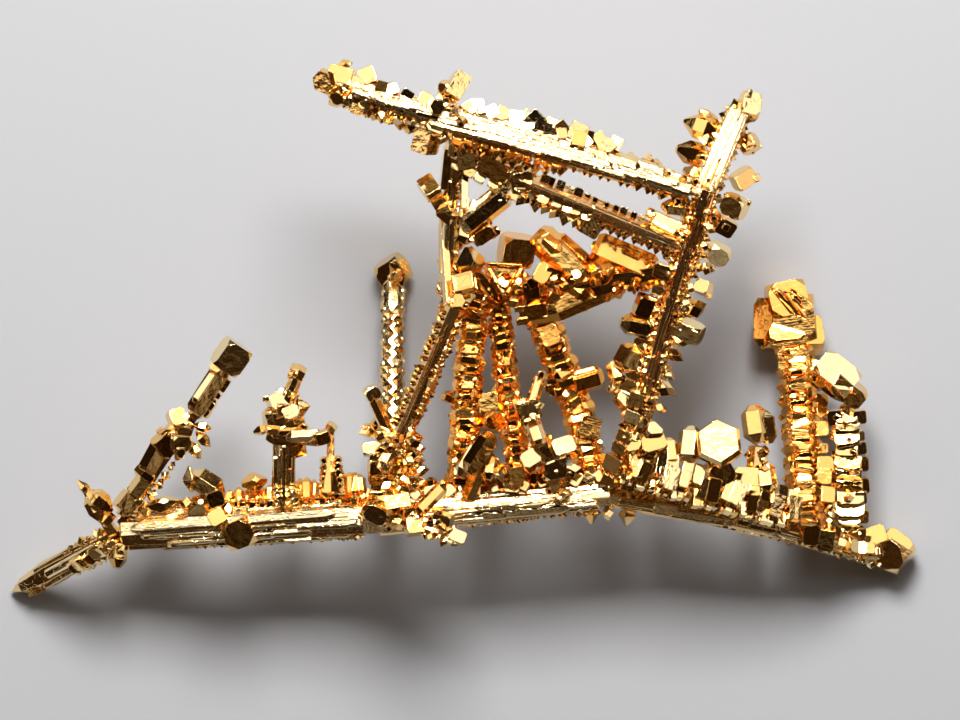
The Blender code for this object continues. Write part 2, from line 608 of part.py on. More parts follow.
def bright_stem():
    """Short bright stem in front of the ribbed rods, with a square head."""
    stem = Branch("bright_stem", [(2.42, -4.05, 3.35), (1.65, -1.95, 4.3)])
    stem.core([0.2, 0.17], [0.2, 0.17], sides=4, roll=20.0)
    stem.grain(1.0, 0, 0.05, (0.26, 0.25, 0.22), (0, 10, 10))
    stem.grain(0.75, 0, 0.05, (0.32, 0.24, 0.22), (20, 0, 30), FACETED)
    stem.grain(0.50, 0, 0.05, (0.32, 0.26, 0.22), (40, 0, -20))
    stem.spike(0.38, 86, 0.78, 0.26, lean=12, cut=FACETED)
    stem.spike(0.32, -85, 0.52, 0.24)
    stem.twig((1.65, -2.1, 4.2), (1.95, -1.15, 4.3), 0.14, sides=4)
    stem.block((1.98, -1.15, 4.3), (0.19, 0.22, 0.17), (0, 0, 15), SQUARE)
    return stem


def front_spray():
    """Spray of crystals that leans out over the base bar towards the lower right."""
    spray = Branch("front_spray", [(-2.15, -4.35, 3.4), (-1.2, -4.7, 3.9), (-0.15, -5.05, 4.2)])
    spray.core([0.3, 0.25, 0.14], [0.26, 0.22, 0.14], sides=5)
    spray.block((-1.6, -4.2, 4.0), (0.34, 0.15, 0.2), (20, 0, 12), SQUARE)
    spray.block((-1.3, -4.45, 4.2), (0.28, 0.2, 0.16), (0, 20, 28), FACETED)
    spray.block((-0.75, -4.2, 4.2), (0.42, 0.13, 0.16), (10, 0, 38), FACETED)
    spray.block((-1.75, -4.75, 3.85), (0.34, 0.24, 0.22), (0, 0, -30), SHARP)
    spray.block((-0.75, -4.65, 4.2), (0.3, 0.15, 0.16), (0, 15, -5), SQUARE)
    spray.block((-0.1, -5.08, 4.22), (0.2, 0.13, 0.15), (0, 0, -20), FACETED)
    spray.block((-0.4, -4.9, 4.25), (0.2, 0.22, 0.18), (10, 10, 20), SHARP)
    spray.spike(0.6, 88, 0.4, 0.22)
    return spray


def crest():
    """Ridge of upright crystals on the right part of the base bar, with one large plate."""
    ridge = Branch("crest", [(3.9, -3.45, 3.55), (5.6, -3.9, 3.15), (7.9, -4.5, 2.4)])
    ridge.core([0.2, 0.32, 0.24], [0.24, 0.36, 0.28], roll=0.0, start_tip=0.12)
    ridge.row(0.12, 0.88, 6, -30, 0.56, 0.25, vary=0.1)
    ridge.row(0.22, 0.78, 3, 38, 0.5, 0.26, vary=0.1)
    ridge.block((4.4, -2.95, 3.5), (0.34, 0.26, 0.28), (10, 0, 8), SQUARE)
    ridge.block((5.05, -3.1, 3.4), (0.17, 0.36, 0.2), (0, 10, -8), SQUARE)
    ridge.block((5.5, -3.0, 3.3), (0.28, 0.45, 0.24), (0, 15, 10), FACETED)
    ridge.block((6.22, -2.85, 3.4), (0.54, 0.62, 0.26), (8, 0, 0), 1.5)
    ridge.block((6.25, -3.55, 3.15), (0.3, 0.34, 0.3), (0, 0, 30), SQUARE)
    ridge.block((7.45, -3.75, 2.65), (0.22, 0.46, 0.22), (0, 0, 6), SHARP)
    ridge.block((6.85, -3.75, 2.9), (0.3, 0.36, 0.28), (0, 10, 0), SHARP)
    ridge.twig((7.0, -4.1, 2.75), (7.1, -2.9, 2.75), 0.22, sides=5)
    ridge.block((7.2, -2.45, 2.8), (0.3, 0.5, 0.3), (0, 0, -24), 1.8)
    ridge.spike(0.6, 178, 0.5, 0.3)
    return ridge


def knob_rod():
    """Ribbed rod with the largest crystal of all as its head, which leans back to the surface."""
    rod = Branch("knob_rod", [(8.35, -4.85, 1.95), (8.1, -0.8, 0.9), (7.9, -0.1, 0.75)])
    rod.ribbed_core(7, 0.33, 0.47, depth_share=0.75, sides=5)
    rod.block((7.78, 0.18, 0.68), (0.74, 0.88, 0.72), (0, 0, 8), 1.6)
    rod.block((8.35, -0.15, 0.62), (0.3, 0.36, 0.4), (0, 0, 15), FACETED)
    rod.block((8.05, -0.85, 0.8), (0.44, 0.24, 0.4), (0, 0, 5), SQUARE)
    rod.row(0.36, 0.64, 2, 70, 0.62, 0.3)
    rod.row(0.34, 0.7, 2, -92, 0.56, 0.24)
    return rod


def outer_rod():
    """Rod at the far right, a pile of small tilted blocks under a wedge-shaped head."""
    rod = Branch("outer_rod", [(9.38, -5.25, 1.2), (9.3, -1.9, 1.65)])
    rod.core([0.2, 0.22], [0.2, 0.22], sides=4, roll=20.0)
    for i, tilt in enumerate((20, -25, 10, -30, 25)):
        rod.grain(0.18 + 0.17 * i, 0, 0.03, (0.23, 0.32, 0.26), (15 * (i % 3), 0, tilt))
    rod.grain(0.82, -80, 0.35, (0.4, 0.15, 0.18))
    rod.block((9.1, -1.35, 1.65), (0.56, 0.46, 0.4), (10, 0, -38), FACETED)
    rod.block((9.35, -1.55, 1.85), (0.36, 0.22, 0.3), (20, 0, -10), SQUARE)
    return rod


BUILDERS = (
    base_bar_left,
    base_bar_middle,
    base_bar_right,
    left_blade,
    left_rod,
    squat_rod,
    tall_rod,
    dark_strut,
    left_column,
    upper_beam,
    lower_beam,
    right_column_top,
    right_column,
    wing,
    ribbed_rod_left,
    ribbed_rod_middle,
    ribbed_rod_right,
    bright_stem,
    front_spray,
    crest,
    knob_rod,
    outer_rod,
)
BRIGHT = ("base_bar_left", "base_bar_middle", "upper_beam", "right_column_top", "crest")


def main():
    clear_scene()
    pale = gold("pale_gold", (0.93, 0.74, 0.38), 0.16)
    deep = gold("deep_gold", (0.85, 0.58, 0.22), 0.2)
    built = []
    for build in BUILDERS:
        branch = build()
        fuse(branch, built, pale if branch.name in BRIGHT else deep)
        built.append(branch)


main()
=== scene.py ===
import functools
import itertools
import math

import bmesh
import bpy
import numpy as np
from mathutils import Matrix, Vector


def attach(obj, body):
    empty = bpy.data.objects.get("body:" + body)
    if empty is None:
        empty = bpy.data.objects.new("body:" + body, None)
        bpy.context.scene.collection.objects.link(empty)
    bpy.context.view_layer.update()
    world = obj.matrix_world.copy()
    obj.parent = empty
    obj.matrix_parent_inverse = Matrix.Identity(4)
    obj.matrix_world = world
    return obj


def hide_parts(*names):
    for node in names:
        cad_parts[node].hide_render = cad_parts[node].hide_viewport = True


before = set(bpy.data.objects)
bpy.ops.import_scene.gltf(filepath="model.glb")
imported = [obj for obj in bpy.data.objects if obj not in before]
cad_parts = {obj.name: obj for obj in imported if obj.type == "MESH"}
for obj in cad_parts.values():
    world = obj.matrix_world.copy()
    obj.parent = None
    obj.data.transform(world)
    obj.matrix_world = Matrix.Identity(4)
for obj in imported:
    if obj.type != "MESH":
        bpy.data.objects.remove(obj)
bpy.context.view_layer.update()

# Left half of the base bar: a thick bundle of parallel laths, side by side on a solid core. The
# whole specimen is native gold that grew as one piece, so its parts are fused, not fixed. Sizes
# are in millimetres until a piece is made.
MM = 0.001
TOWARDS_EYE = np.array([0.0, 0.0, 1.0])


def unit(rows):
    """Each row divided by its length."""
    return rows / np.linalg.norm(rows, axis=-1, keepdims=True)


def stations(path, shares):
    """Centre, forward, side and front at shares of a path's length, one row for each share. Side
    is forward crossed with the direction to the eye, and front is side crossed with forward."""
    path = np.asarray(path, float)
    steps = np.diff(path, axis=0)
    lengths = np.linalg.norm(steps, axis=1)
    marks = np.concatenate([[0.0], np.cumsum(lengths)]) / lengths.sum()
    shares = np.clip(np.atleast_1d(shares).astype(float), 0.0, 1.0)
    centre = np.stack([np.interp(shares, marks, path[:, k]) for k in range(3)], axis=1)
    span = np.clip(np.searchsorted(marks, shares, side="right") - 1, 0, len(steps) - 1)
    forward = unit(steps)[span]
    side = unit(np.cross(forward, TOWARDS_EYE))
    return centre, forward, side, np.cross(side, forward)


@functools.cache
def lath(sides=6, taper=0.1, tip=0.3):
    """A polygon carried along X from -1 to 1: full size between two tapers, tip of it at the ends,
    with a point in the middle of each end. One of its sides lies flat on top."""
    reach = np.array([-1.0, -1.0 + taper, 1.0 - taper, 1.0])
    size = np.array([tip, 1.0, 1.0, tip])
    turns = 2.0 * np.pi * np.arange(sides) / sides
    ring = np.stack([np.cos(turns), np.sin(turns)], axis=1) / np.cos(np.pi / sides)
    grid = np.empty((4, sides, 3))
    grid[:, :, 0] = reach[:, None]
    grid[:, :, 1:] = size[:, None, None] * ring[None]
    here = np.arange(3 * sides).reshape(3, sides)
    right = np.roll(here, -1, axis=1)
    walls = [np.stack([here, right, right + sides], -1), np.stack([here, right + sides, here + sides], -1)]
    points = np.concatenate([grid.reshape(-1, 3), [[-1.0, 0.0, 0.0], [1.0, 0.0, 0.0]]])
    first, last = np.arange(sides), np.arange(sides) + 3 * sides
    caps = [np.stack([np.roll(first, -1), first, np.full(sides, 4 * sides)], -1),
            np.stack([last, np.roll(last, -1), np.full(sides, 4 * sides + 1)], -1)]
    triangles = np.concatenate([wall.reshape(-1, 3) for wall in walls] + caps)
    return points, triangles[:, ::-1]


def copies(shape, centres, axes, halves):
    """A shape set down once for each centre, stretched by the halves along three axes: a point is
    centre + sum of corner * half * axis. The last array is each point's place in its own crystal,
    in tenths of a millimetre, which the materials use for growth lines."""
    corners, triangles = shape
    centres, axes = np.atleast_2d(centres), np.asarray(axes, float).reshape(-1, 3, 3)
    halves = np.broadcast_to(halves, centres.shape)
    own = corners[None] * halves[:, None]
    points = centres[:, None] + np.einsum("nvk,nkj->nvj", own, axes)
    offsets = len(corners) * np.arange(len(centres))
    faces = triangles[None] + offsets[:, None, None]
    return points.reshape(-1, 3), faces.reshape(-1, 3), 10.0 * own.reshape(-1, 3)


def turned(axes, turns):
    """Each set of three axes turned by its rotation vector, in degrees about X, Y and Z of the
    specimen: v cos a + (k x v) sin a + k (k . v) (1 - cos a)."""
    turns = np.radians(np.atleast_2d(turns).astype(float))
    angle = np.linalg.norm(turns, axis=1)[:, None, None] + 1e-12
    pole = turns[:, None] / angle
    cross = np.cross(np.broadcast_to(pole, axes.shape), axes)
    dot = np.sum(pole * axes, axis=-1, keepdims=True)
    return axes * np.cos(angle) + cross * np.sin(angle) + pole * dot * (1.0 - np.cos(angle))


def bundle(path, count, arounds, out, length, width, height, seed=1, span=(0.0, 1.0)):
    """Long flat laths that lie along a path, side by side over part of its girth, each a little
    askew and with its own length, like the striated sides of the bars."""
    chance = np.random.default_rng(seed + 3000)
    total = np.linalg.norm(np.diff(np.asarray(path, float), axis=0), axis=1).sum()
    halves = np.stack([chance.uniform(*length, count), chance.uniform(*width, count),
                       np.full(count, height) * chance.uniform(0.8, 1.2, count)], axis=1)
    room = np.minimum(halves[:, 0] / total, (span[1] - span[0]) / 2.0)
    shares = chance.uniform(span[0] + room, span[1] - room)
    centre, forward, side, front = stations(path, shares)
    angle = np.radians(np.linspace(*arounds, count) + chance.uniform(-5.0, 5.0, count))[:, None]
    outward = front * np.cos(angle) + side * np.sin(angle)
    axes = np.stack([forward, np.cross(outward, forward), outward], axis=1)
    axes = turned(axes, chance.uniform(-1.2, 1.2, (count, 3)))
    reach = np.interp(shares, np.linspace(0.0, 1.0, len(out)), out) if np.ndim(out) else out
    lift = np.atleast_1d(reach)[:, None] + chance.uniform(-0.02, 0.02, (count, 1))
    return copies(lath(), centre + outward * lift, axes, halves)


def terraces(path, around, out, half_width, count, length, width, seed=1, span=(0.0, 1.0), strip=0.0):
    """Flat laths that all lie on one long face of a bar, like steps in its growth: out from the
    line in the face's direction, strewn over its half width. Strip moves them to the path's left."""
    thick = 0.06
    chance = np.random.default_rng(seed + 6000)
    total = np.linalg.norm(np.diff(np.asarray(path, float), axis=0), axis=1).sum()
    halves = np.stack([chance.uniform(*length, count), chance.uniform(*width, count),
                       np.full(count, thick)], axis=1)
    room = np.minimum(halves[:, 0] / total, (span[1] - span[0]) / 2.0)
    shares = chance.uniform(span[0] + room, span[1] - room)
    centre, forward, side, front = stations(path, shares)
    angle = math.radians(around)
    outward = front * math.cos(angle) + side * math.sin(angle)
    across = np.cross(outward, forward)
    reach = np.interp(shares, np.linspace(0.0, 1.0, len(out)), out) if np.ndim(out) else np.full(count, out)
    aside = chance.uniform(-1.0, 1.0, count) * np.maximum(half_width - halves[:, 1], 0.0)
    lift = reach - thick + chance.uniform(0.0, 0.05, count) - 0.1 * np.abs(aside)
    axes = turned(np.stack([forward, across, outward], axis=1), chance.uniform(-0.7, 0.7, (count, 3)))
    return copies(lath(), centre + outward * lift[:, None] + across * (aside + strip)[:, None], axes, halves)


def stem(path, widths, depths, sides=6, roll=0.0, taper=0.4):
    """The solid core of a branch: an ellipse's polygon carried along the path, with one half width
    and half depth for each of its points, closed by a point at each end."""
    path = np.asarray(path, float)
    lengths = np.linalg.norm(np.diff(path, axis=0), axis=1)
    marks = np.concatenate([[0.0], np.cumsum(lengths)]) / lengths.sum()
    centre, forward, side, front = stations(path, marks)
    turns = np.radians(roll) + 2.0 * np.pi * np.arange(sides) / sides
    rings = (centre[:, None] + front[:, None] * (np.cos(turns)[:, None] * np.asarray(depths)[:, None, None])
             + side[:, None] * (np.sin(turns)[:, None] * np.asarray(widths)[:, None, None]))
    tips = np.stack([path[0] - forward[0] * taper * widths[0], path[-1] + forward[-1] * taper * widths[-1]])
    count = len(path)
    here = np.arange((count - 1) * sides).reshape(count - 1, sides)
    right = np.roll(here, -1, axis=1)
    first, last = np.arange(sides), np.arange(sides) + (count - 1) * sides
    triangles = np.concatenate([
        np.stack([here, right, right + sides], -1).reshape(-1, 3),
        np.stack([here, right + sides, here + sides], -1).reshape(-1, 3),
        np.stack([np.roll(first, -1), first, np.full(sides, count * sides)], -1),
        np.stack([last, np.roll(last, -1), np.full(sides, count * sides + 1)], -1)])
    points = np.concatenate([rings.reshape(-1, 3), tips])
    own = np.concatenate([np.stack(np.broadcast_arrays(
        (marks * lengths.sum())[:, None], np.cos(turns) * 0.3, np.sin(turns) * 0.3), -1).reshape(-1, 3),
        np.zeros((2, 3))])
    return points, triangles, 10.0 * own


def joined(*parts):
    """Several parts as one set of points, triangles and places."""
    starts = np.cumsum([0] + [len(part[0]) for part in parts[:-1]])
    return (np.concatenate([part[0] for part in parts]),
            np.concatenate([part[1] + start for part, start in zip(parts, starts)]),
            np.concatenate([part[2] for part in parts]))


def node(tree, kind, sockets, **settings):
    """The outputs of a new shader node, its settings made and each of its sockets given a number
    or linked to another node's output."""
    made = tree.nodes.new("ShaderNode" + kind)
    for key, value in settings.items():
        setattr(made, key, value)
    for key, value in sockets.items():
        if isinstance(value, bpy.types.NodeSocket):
            tree.links.new(value, made.inputs[key])
        else:
            made.inputs[key].default_value = value
    return made.outputs


# Radius of the rounded edges and height of the slow swells, both in micrometres.
MICROMETRE = 1e-6
EDGE_RADIUS = 25.0
SWELL = 4.0


def gold(name, pale, deep, rough, lines, hills, dots, seams):
    """Polished gold, each crystal of a shade between pale and deep. Its edges are rounded, and its
    relief is laid on step by step, with heights in micrometres: a fine stipple (dots), fine lines
    along a crystal, flat square growth hills, slow swells, and the wavy cracks between layers
    (seams). Patches of it are up to 2.4 times as dull as rough."""
    material = bpy.data.materials.new(name)
    material.use_nodes = True
    tree = material.node_tree
    shader = tree.nodes["Principled BSDF"].inputs
    shader["Metallic"].default_value = 1.0
    own = node(tree, "Attribute", {}, attribute_name="growth")["Vector"]
    place = node(tree, "TexCoord", {})["Object"]
    chance = node(tree, "NewGeometry", {})["Random Per Island"]
    shade = node(tree, "Mix", {"Factor": chance, "A": (*pale, 1.0), "B": (*deep, 1.0)}, data_type="RGBA")
    stipple = node(tree, "TexNoise", {"Vector": place, "Scale": 17000.0, "Detail": 1.0})
    stretched = node(tree, "Mapping", {"Vector": own, "Scale": (0.06, 1.6, 1.6)})
    grain = node(tree, "TexNoise", {"Vector": stretched["Vector"], "Scale": 1.6, "Detail": 3.0})
    hillocks = node(tree, "TexVoronoi", {"Vector": own, "Scale": 0.55}, distance="CHEBYCHEV")
    swells = node(tree, "TexNoise", {"Vector": own, "Scale": 0.45})
    bent = node(tree, "VectorMath", {0: swells["Color"], 1: (3.0, 3.0, 3.0), 2: own},
                operation="MULTIPLY_ADD")
    drawn = node(tree, "Mapping", {"Vector": bent["Vector"], "Scale": (0.15, 0.5, 0.5)})
    crackle = node(tree, "TexVoronoi", {"Vector": drawn["Vector"], "Scale": 1.0}, feature="DISTANCE_TO_EDGE")
    groove = node(tree, "MapRange", {"Value": crackle["Distance"], "From Max": 0.07})
    normal = node(tree, "Bevel", {"Radius": EDGE_RADIUS * MICROMETRE}, samples=2)
    for height, depth in ((stipple["Fac"], dots), (grain["Fac"], lines), (hillocks["Distance"], hills),
                          (swells["Fac"], SWELL), (groove["Result"], seams)):
        normal = node(tree, "Bump", {"Height": height, "Strength": 1.0, "Distance": depth * MICROMETRE,
                                     "Normal": normal["Normal"]})
    patches = node(tree, "TexNoise", {"Vector": place, "Scale": 1900.0, "Detail": 4.0})
    dull = node(tree, "MapRange", {"Value": patches["Fac"], "From Min": 0.35, "From Max": 0.75,
                                   "To Min": rough, "To Max": rough * 2.4})
    for socket, value in (("Base Color", shade["Result"]), ("Roughness", dull["Result"]),
                          ("Normal", normal["Normal"])):
        tree.links.new(value, shader[socket])
    return material


def make(name, material, slot, replaces, *parts):
    """Turns parts into one piece, in metres, that stands for CAD nodes and rides on the body.
    Points that would lie below the surface are moved up to it."""
    points, triangles, places = joined(*parts)
    points[:, 2] = np.maximum(points[:, 2], 0.0)
    mesh = bpy.data.meshes.new(name)
    mesh.vertices.add(len(points))
    mesh.vertices.foreach_set("co", (points * MM).astype(np.float32).ravel())
    mesh.loops.add(3 * len(triangles))
    mesh.loops.foreach_set("vertex_index", triangles.astype(np.int32).ravel())
    mesh.polygons.add(len(triangles))
    mesh.polygons.foreach_set("loop_start", np.arange(0, 3 * len(triangles), 3, dtype=np.int32))
    mesh.polygons.foreach_set("use_smooth", np.zeros(len(triangles), bool))
    mesh.update(calc_edges=True)
    growth = mesh.attributes.new("growth", "FLOAT_VECTOR", "POINT")
    growth.data.foreach_set("vector", places.astype(np.float32).ravel())
    mesh.materials.append(material)
    piece = bpy.data.objects.new(name, mesh)
    bpy.context.scene.collection.objects.link(piece)
    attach(piece, "root")
    if replaces:
        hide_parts(*replaces)
    return piece


BAR_GOLD = gold("striated_gold", (1.0, 0.80, 0.46), (1.0, 0.70, 0.30), 0.06,
                lines=4.0, hills=2.0, dots=0.3, seams=2.0)
bar = [(-8.1, -4.95, 2.2), (-5.2, -4.75, 2.6), (-2.3, -4.6, 2.9)]
make("base_bar_left_laths", BAR_GOLD, "pale_gold", ["base_bar_left"],
     stem(bar, [0.4, 0.47, 0.46], [0.4, 0.47, 0.46], sides=8, roll=12.5),
     terraces(bar, -10, [0.42, 0.49, 0.48], 0.22, 7, (0.9, 2.4), (0.09, 0.19), seed=1),
     terraces(bar, -10, [0.45, 0.53, 0.5], 0.12, 2, (2.3, 2.6), (0.13, 0.16), seed=2, span=(0.02, 0.9)),
     terraces(bar, -12, [0.42, 0.5, 0.49], 0.2, 7, (0.35, 0.8), (0.07, 0.14), seed=17, span=(0.7, 1.0),
              strip=-0.15),
     terraces(bar, -55, [0.42, 0.5, 0.48], 0.2, 8, (0.6, 2.0), (0.07, 0.17), seed=3),
     terraces(bar, 35, [0.42, 0.49, 0.48], 0.2, 7, (0.7, 2.2), (0.06, 0.17), seed=4),
     terraces(bar, 80, [0.4, 0.47, 0.46], 0.2, 8, (0.5, 1.8), (0.05, 0.14), seed=5),
     bundle(bar, 10, (-70, 70), [0.42, 0.5, 0.48], (0.3, 1.4), (0.02, 0.04), 0.05, seed=6),
     bundle(bar, 20, (110, 260), [0.36, 0.44, 0.42], (0.5, 2.2), (0.06, 0.16), 0.09, seed=7))

# Crystals on the left half: pyramids and cut cubes along its upper edge, fine teeth below, the
# large octahedron on its front and a slim stub. They are gold too, grown out of the laths.

@functools.cache
def crystal(cut, hollow=0.0):
    """Corners and triangles of a cube of half size 1 with its corners cut off. The corners are
    (1, cut - 1, 0) up to a cut of 2, (1, 1, cut - 2) up to 3 and then both (1, 0, 0) and (1, 1, 1)
    divided by cut - 2, in every order and with every sign: 1 is an octahedron (BLUNT is one with
    its tips cut), 2 a cuboctahedron, 3 a cube and 4 a rhombic dodecahedron. Where it is hollow,
    each large face is sunk in two steps, as on a crystal whose edges grew faster than its faces."""
    if cut <= 2.0:
        kinds = [(1.0, cut - 1.0, 0.0)]
    elif cut <= 3.0:
        kinds = [(1.0, 1.0, cut - 2.0)]
    else:
        kinds = [(1.0, 0.0, 0.0), (1.0 / (cut - 2.0),) * 3]
    corners = {tuple(a * b + 0.0 for a, b in zip(order, sign))
               for sign in itertools.product((1.0, -1.0), repeat=3)
               for kind in kinds for order in itertools.permutations(kind)}
    shape = bmesh.new()
    for corner in sorted(corners):
        shape.verts.new(corner)
    bmesh.ops.convex_hull(shape, input=shape.verts[:])
    bmesh.ops.dissolve_limit(shape, angle_limit=0.01, verts=shape.verts[:], edges=shape.edges[:])
    bmesh.ops.recalc_face_normals(shape, faces=shape.faces[:])
    if hollow:
        widest = max(face.calc_area() for face in shape.faces)
        large = [face for face in shape.faces if face.calc_area() > 0.6 * widest]
        for share in (0.5, 1.0):
            bmesh.ops.inset_individual(shape, faces=large, thickness=0.13, depth=0.0)
            bmesh.ops.inset_individual(shape, faces=large, thickness=0.02, depth=-hollow * share)
    bmesh.ops.triangulate(shape, faces=shape.faces[:])
    shape.verts.index_update()
    points = np.array([vertex.co[:] for vertex in shape.verts])
    triangles = np.array([[vertex.index for vertex in face.verts] for face in shape.faces])
    shape.free()
    return points, triangles


# Cuts of two common forms: an octahedron with its tips cut, and a rhombic dodecahedron.
BLUNT = 1.3
TWELVE_SIDED = 4.0


def sprouts(path, shares, arounds, outs, halves, cut=1.25, lean=0.0, turn=0.0, pitch=0.0, wild=6.0, seed=1):
    """Crystals that stand out of a path's line. Around is 0 to the eye, 90 to the right of the
    path and -90 to its left. The first half size is along the crystal's own axis, outwards,
    leaning towards the path's end and pitched round the path, the second along the path and the
    third across it."""
    chance = np.random.default_rng(seed)
    shares, arounds, outs, lean, turn = np.broadcast_arrays(
        np.atleast_1d(shares).astype(float), arounds, outs, lean, turn)
    centre, forward, side, front = stations(path, shares)
    a, b, tip, spin = (np.radians(part)[:, None] for part in (arounds, arounds + pitch, lean, turn))
    centre = centre + (front * np.cos(a) + side * np.sin(a)) * outs[:, None]
    outward = front * np.cos(b) + side * np.sin(b)
    axis = outward * np.cos(tip) + forward * np.sin(tip)
    across = unit(forward - axis * np.sum(forward * axis, axis=1, keepdims=True))
    third = np.cross(axis, across)
    second = across * np.cos(spin) + third * np.sin(spin)
    axes = np.stack([axis, second, np.cross(axis, second)], axis=1)
    axes = turned(axes, chance.uniform(-wild, wild, (len(shares), 3)))
    shape = cut if isinstance(cut, tuple) else crystal(cut)
    return copies(shape, centre, axes, halves)


def comb(path, start, end, count, around, out, halves, vary=0.2, sway=0.0, lean=0.0, seed=1, **form):
    """A row of crystals a pitch apart along one side, each a little larger or smaller, and each
    leaning by up to sway degrees more or less."""
    chance = np.random.default_rng(seed + 1000)
    shares = np.linspace(start, end, count) + chance.uniform(-0.25, 0.25, count) * (end - start) / count
    sizes = np.asarray(halves) * chance.uniform(1.0 - vary, 1.0 + vary, (count, 1))
    arounds = around + chance.uniform(-7.0, 7.0, count)
    leans = lean + chance.uniform(-sway, sway, count)
    return sprouts(path, shares, arounds, out, sizes, lean=leans, seed=seed, **form)


def crust(path, start, end, count, arounds, out, small, large, tall=1.2, seed=1, **form):
    """Crystals strewn over a side of a path, small ones the commonest: the size is small + (large
    - small) * chance squared. Tall is how much longer than wide they are."""
    chance = np.random.default_rng(seed + 2000)
    shares = chance.uniform(start, end, count)
    angles = chance.uniform(*arounds, count)
    sizes = small + (large - small) * chance.random((count, 1)) ** 2
    halves = sizes * np.concatenate([np.full((count, 1), tall), chance.uniform(0.8, 1.2, (count, 2))], axis=1)
    reach = np.asarray(out) + chance.uniform(-0.3, 0.3, count) * sizes[:, 0]
    return sprouts(path, shares, angles, reach, halves, turn=chance.uniform(0, 90, count), seed=seed, **form)


def cluster(at, halves, turn=(0.0, 0.0, 0.0), cut=2.3, hollow=0.0, buds=0, bud=(0.16, 0.4), seed=1,
            wild=3.0):
    """A large crystal at a place of its own, and smaller ones of the same shape and direction that
    stand out of its faces, as parallel growth leaves them."""
    chance = np.random.default_rng(seed + 4000)
    axes = turned(np.eye(3)[None], turn)
    halves = np.asarray(halves, float)
    shape = crystal(cut, hollow)
    whole = copies(shape, np.asarray(at, float), axes, halves)
    if not buds:
        return whole
    faces = shape[0][shape[1]]
    picks = faces[chance.integers(0, len(faces), buds)]
    weights = chance.dirichlet((1.0, 1.0, 1.0), buds)
    spots = np.einsum("nv,nvk->nk", weights, picks) * 0.95
    sizes = halves * chance.uniform(*bud, (buds, 1)) * chance.uniform(0.8, 1.25, (buds, 3))
    centres = np.asarray(at, float) + np.einsum("nk,kj->nj", spots * halves, axes[0])
    turns = turned(np.repeat(axes, buds, axis=0), chance.uniform(-wild, wild, (buds, 3)))
    return joined(whole, copies(crystal(cut), centres, turns, sizes))


def prism(at, halves, turn, taper=0.25, tip=0.5, sides=6):
    """A long crystal with six flat sides and blunt pyramids for ends. The first half size is its
    length, and the turn is about X, Y and Z."""
    return copies(lath(sides, taper, tip), np.asarray(at, float), turned(np.eye(3)[None], turn), halves)


CRYSTAL_GOLD = gold("faceted_gold", (1.0, 0.78, 0.40), (1.0, 0.58, 0.17), 0.05,
                    lines=0.5, hills=3.0, dots=0.3, seams=0.3)
NEEDLE = lath(6, 0.4, 0.3)
stub = [(-3.1, -4.3, 3.05), (-3.1, -2.5, 3.1)]
make("base_bar_left_crystals", CRYSTAL_GOLD, "pale_gold", [],
     cluster((-5.3, -4.96, 3.1), (0.36, 0.34, 0.3), (10, -8, 22), 2.35),
     cluster((-5.85, -4.62, 3.04), (0.2, 0.18, 0.18), (-10, 3, 30), 2.7, buds=2, seed=3),
     cluster((-5.58, -4.45, 3.0), (0.18, 0.2, 0.18), (20, 10, 0), TWELVE_SIDED, buds=2, seed=19),
     prism((-6.08, -3.82, 2.85), (0.48, 0.3, 0.28), (22, -10, -32), taper=0.5, tip=0.25),
     cluster((-6.48, -3.68, 2.8), (0.2, 0.32, 0.2), (10, 20, 8), 1.15),
     cluster((-6.25, -4.3, 2.95), (0.34, 0.26, 0.26), (-16, 10, 40), 1.2),
     cluster((-5.88, -4.12, 2.95), (0.2, 0.2, 0.2), (14, 0, 20), 2.6, buds=2, seed=6),
     cluster((-6.55, -4.28, 2.85), (0.18, 0.2, 0.2), (24, -10, 0), TWELVE_SIDED, buds=2, seed=20),
     cluster((-7.12, -4.28, 2.68), (0.44, 0.2, 0.24), (-17, 0, 10), 1.25, buds=1, seed=7),
     cluster((-7.55, -4.4, 2.6), (0.2, 0.16, 0.18), (10, 20, 30), TWELVE_SIDED, buds=1, seed=21),
     cluster((-4.95, -3.75, 2.9), (0.32, 0.22, 0.25), (-12, 14, 12), 1.3),
     comb(bar, 0.35, 0.97, 30, -34, 0.44, (0.05, 0.06, 0.06), seed=18, vary=0.5, cut=TWELVE_SIDED),
     comb(bar, 0.3, 0.98, 40, 96, 0.46, (0.08, 0.08, 0.06), seed=13, vary=0.4, cut=TWELVE_SIDED),
     crust(bar, 0.02, 1.0, 150, (150, 250), 0.46, 0.06, 0.2, seed=14, cut=BLUNT),
     stem([(-3.1, -4.0, 3.1), (-3.12, -3.35, 3.1), (-3.1, -2.5, 3.12)], [0.24, 0.12, 0.09],
          [0.2, 0.12, 0.09]),
     comb(stub, 0.15, 0.6, 6, -86, 0.16, (0.14, 0.1, 0.1), seed=15, cut=NEEDLE, lean=50.0),
     comb(stub, 0.15, 0.6, 6, 86, 0.16, (0.14, 0.1, 0.1), seed=16, cut=NEEDLE, lean=50.0),
     cluster((-3.1, -2.45, 3.12), (0.17, 0.2, 0.17), (-17, 0, 10), TWELVE_SIDED))

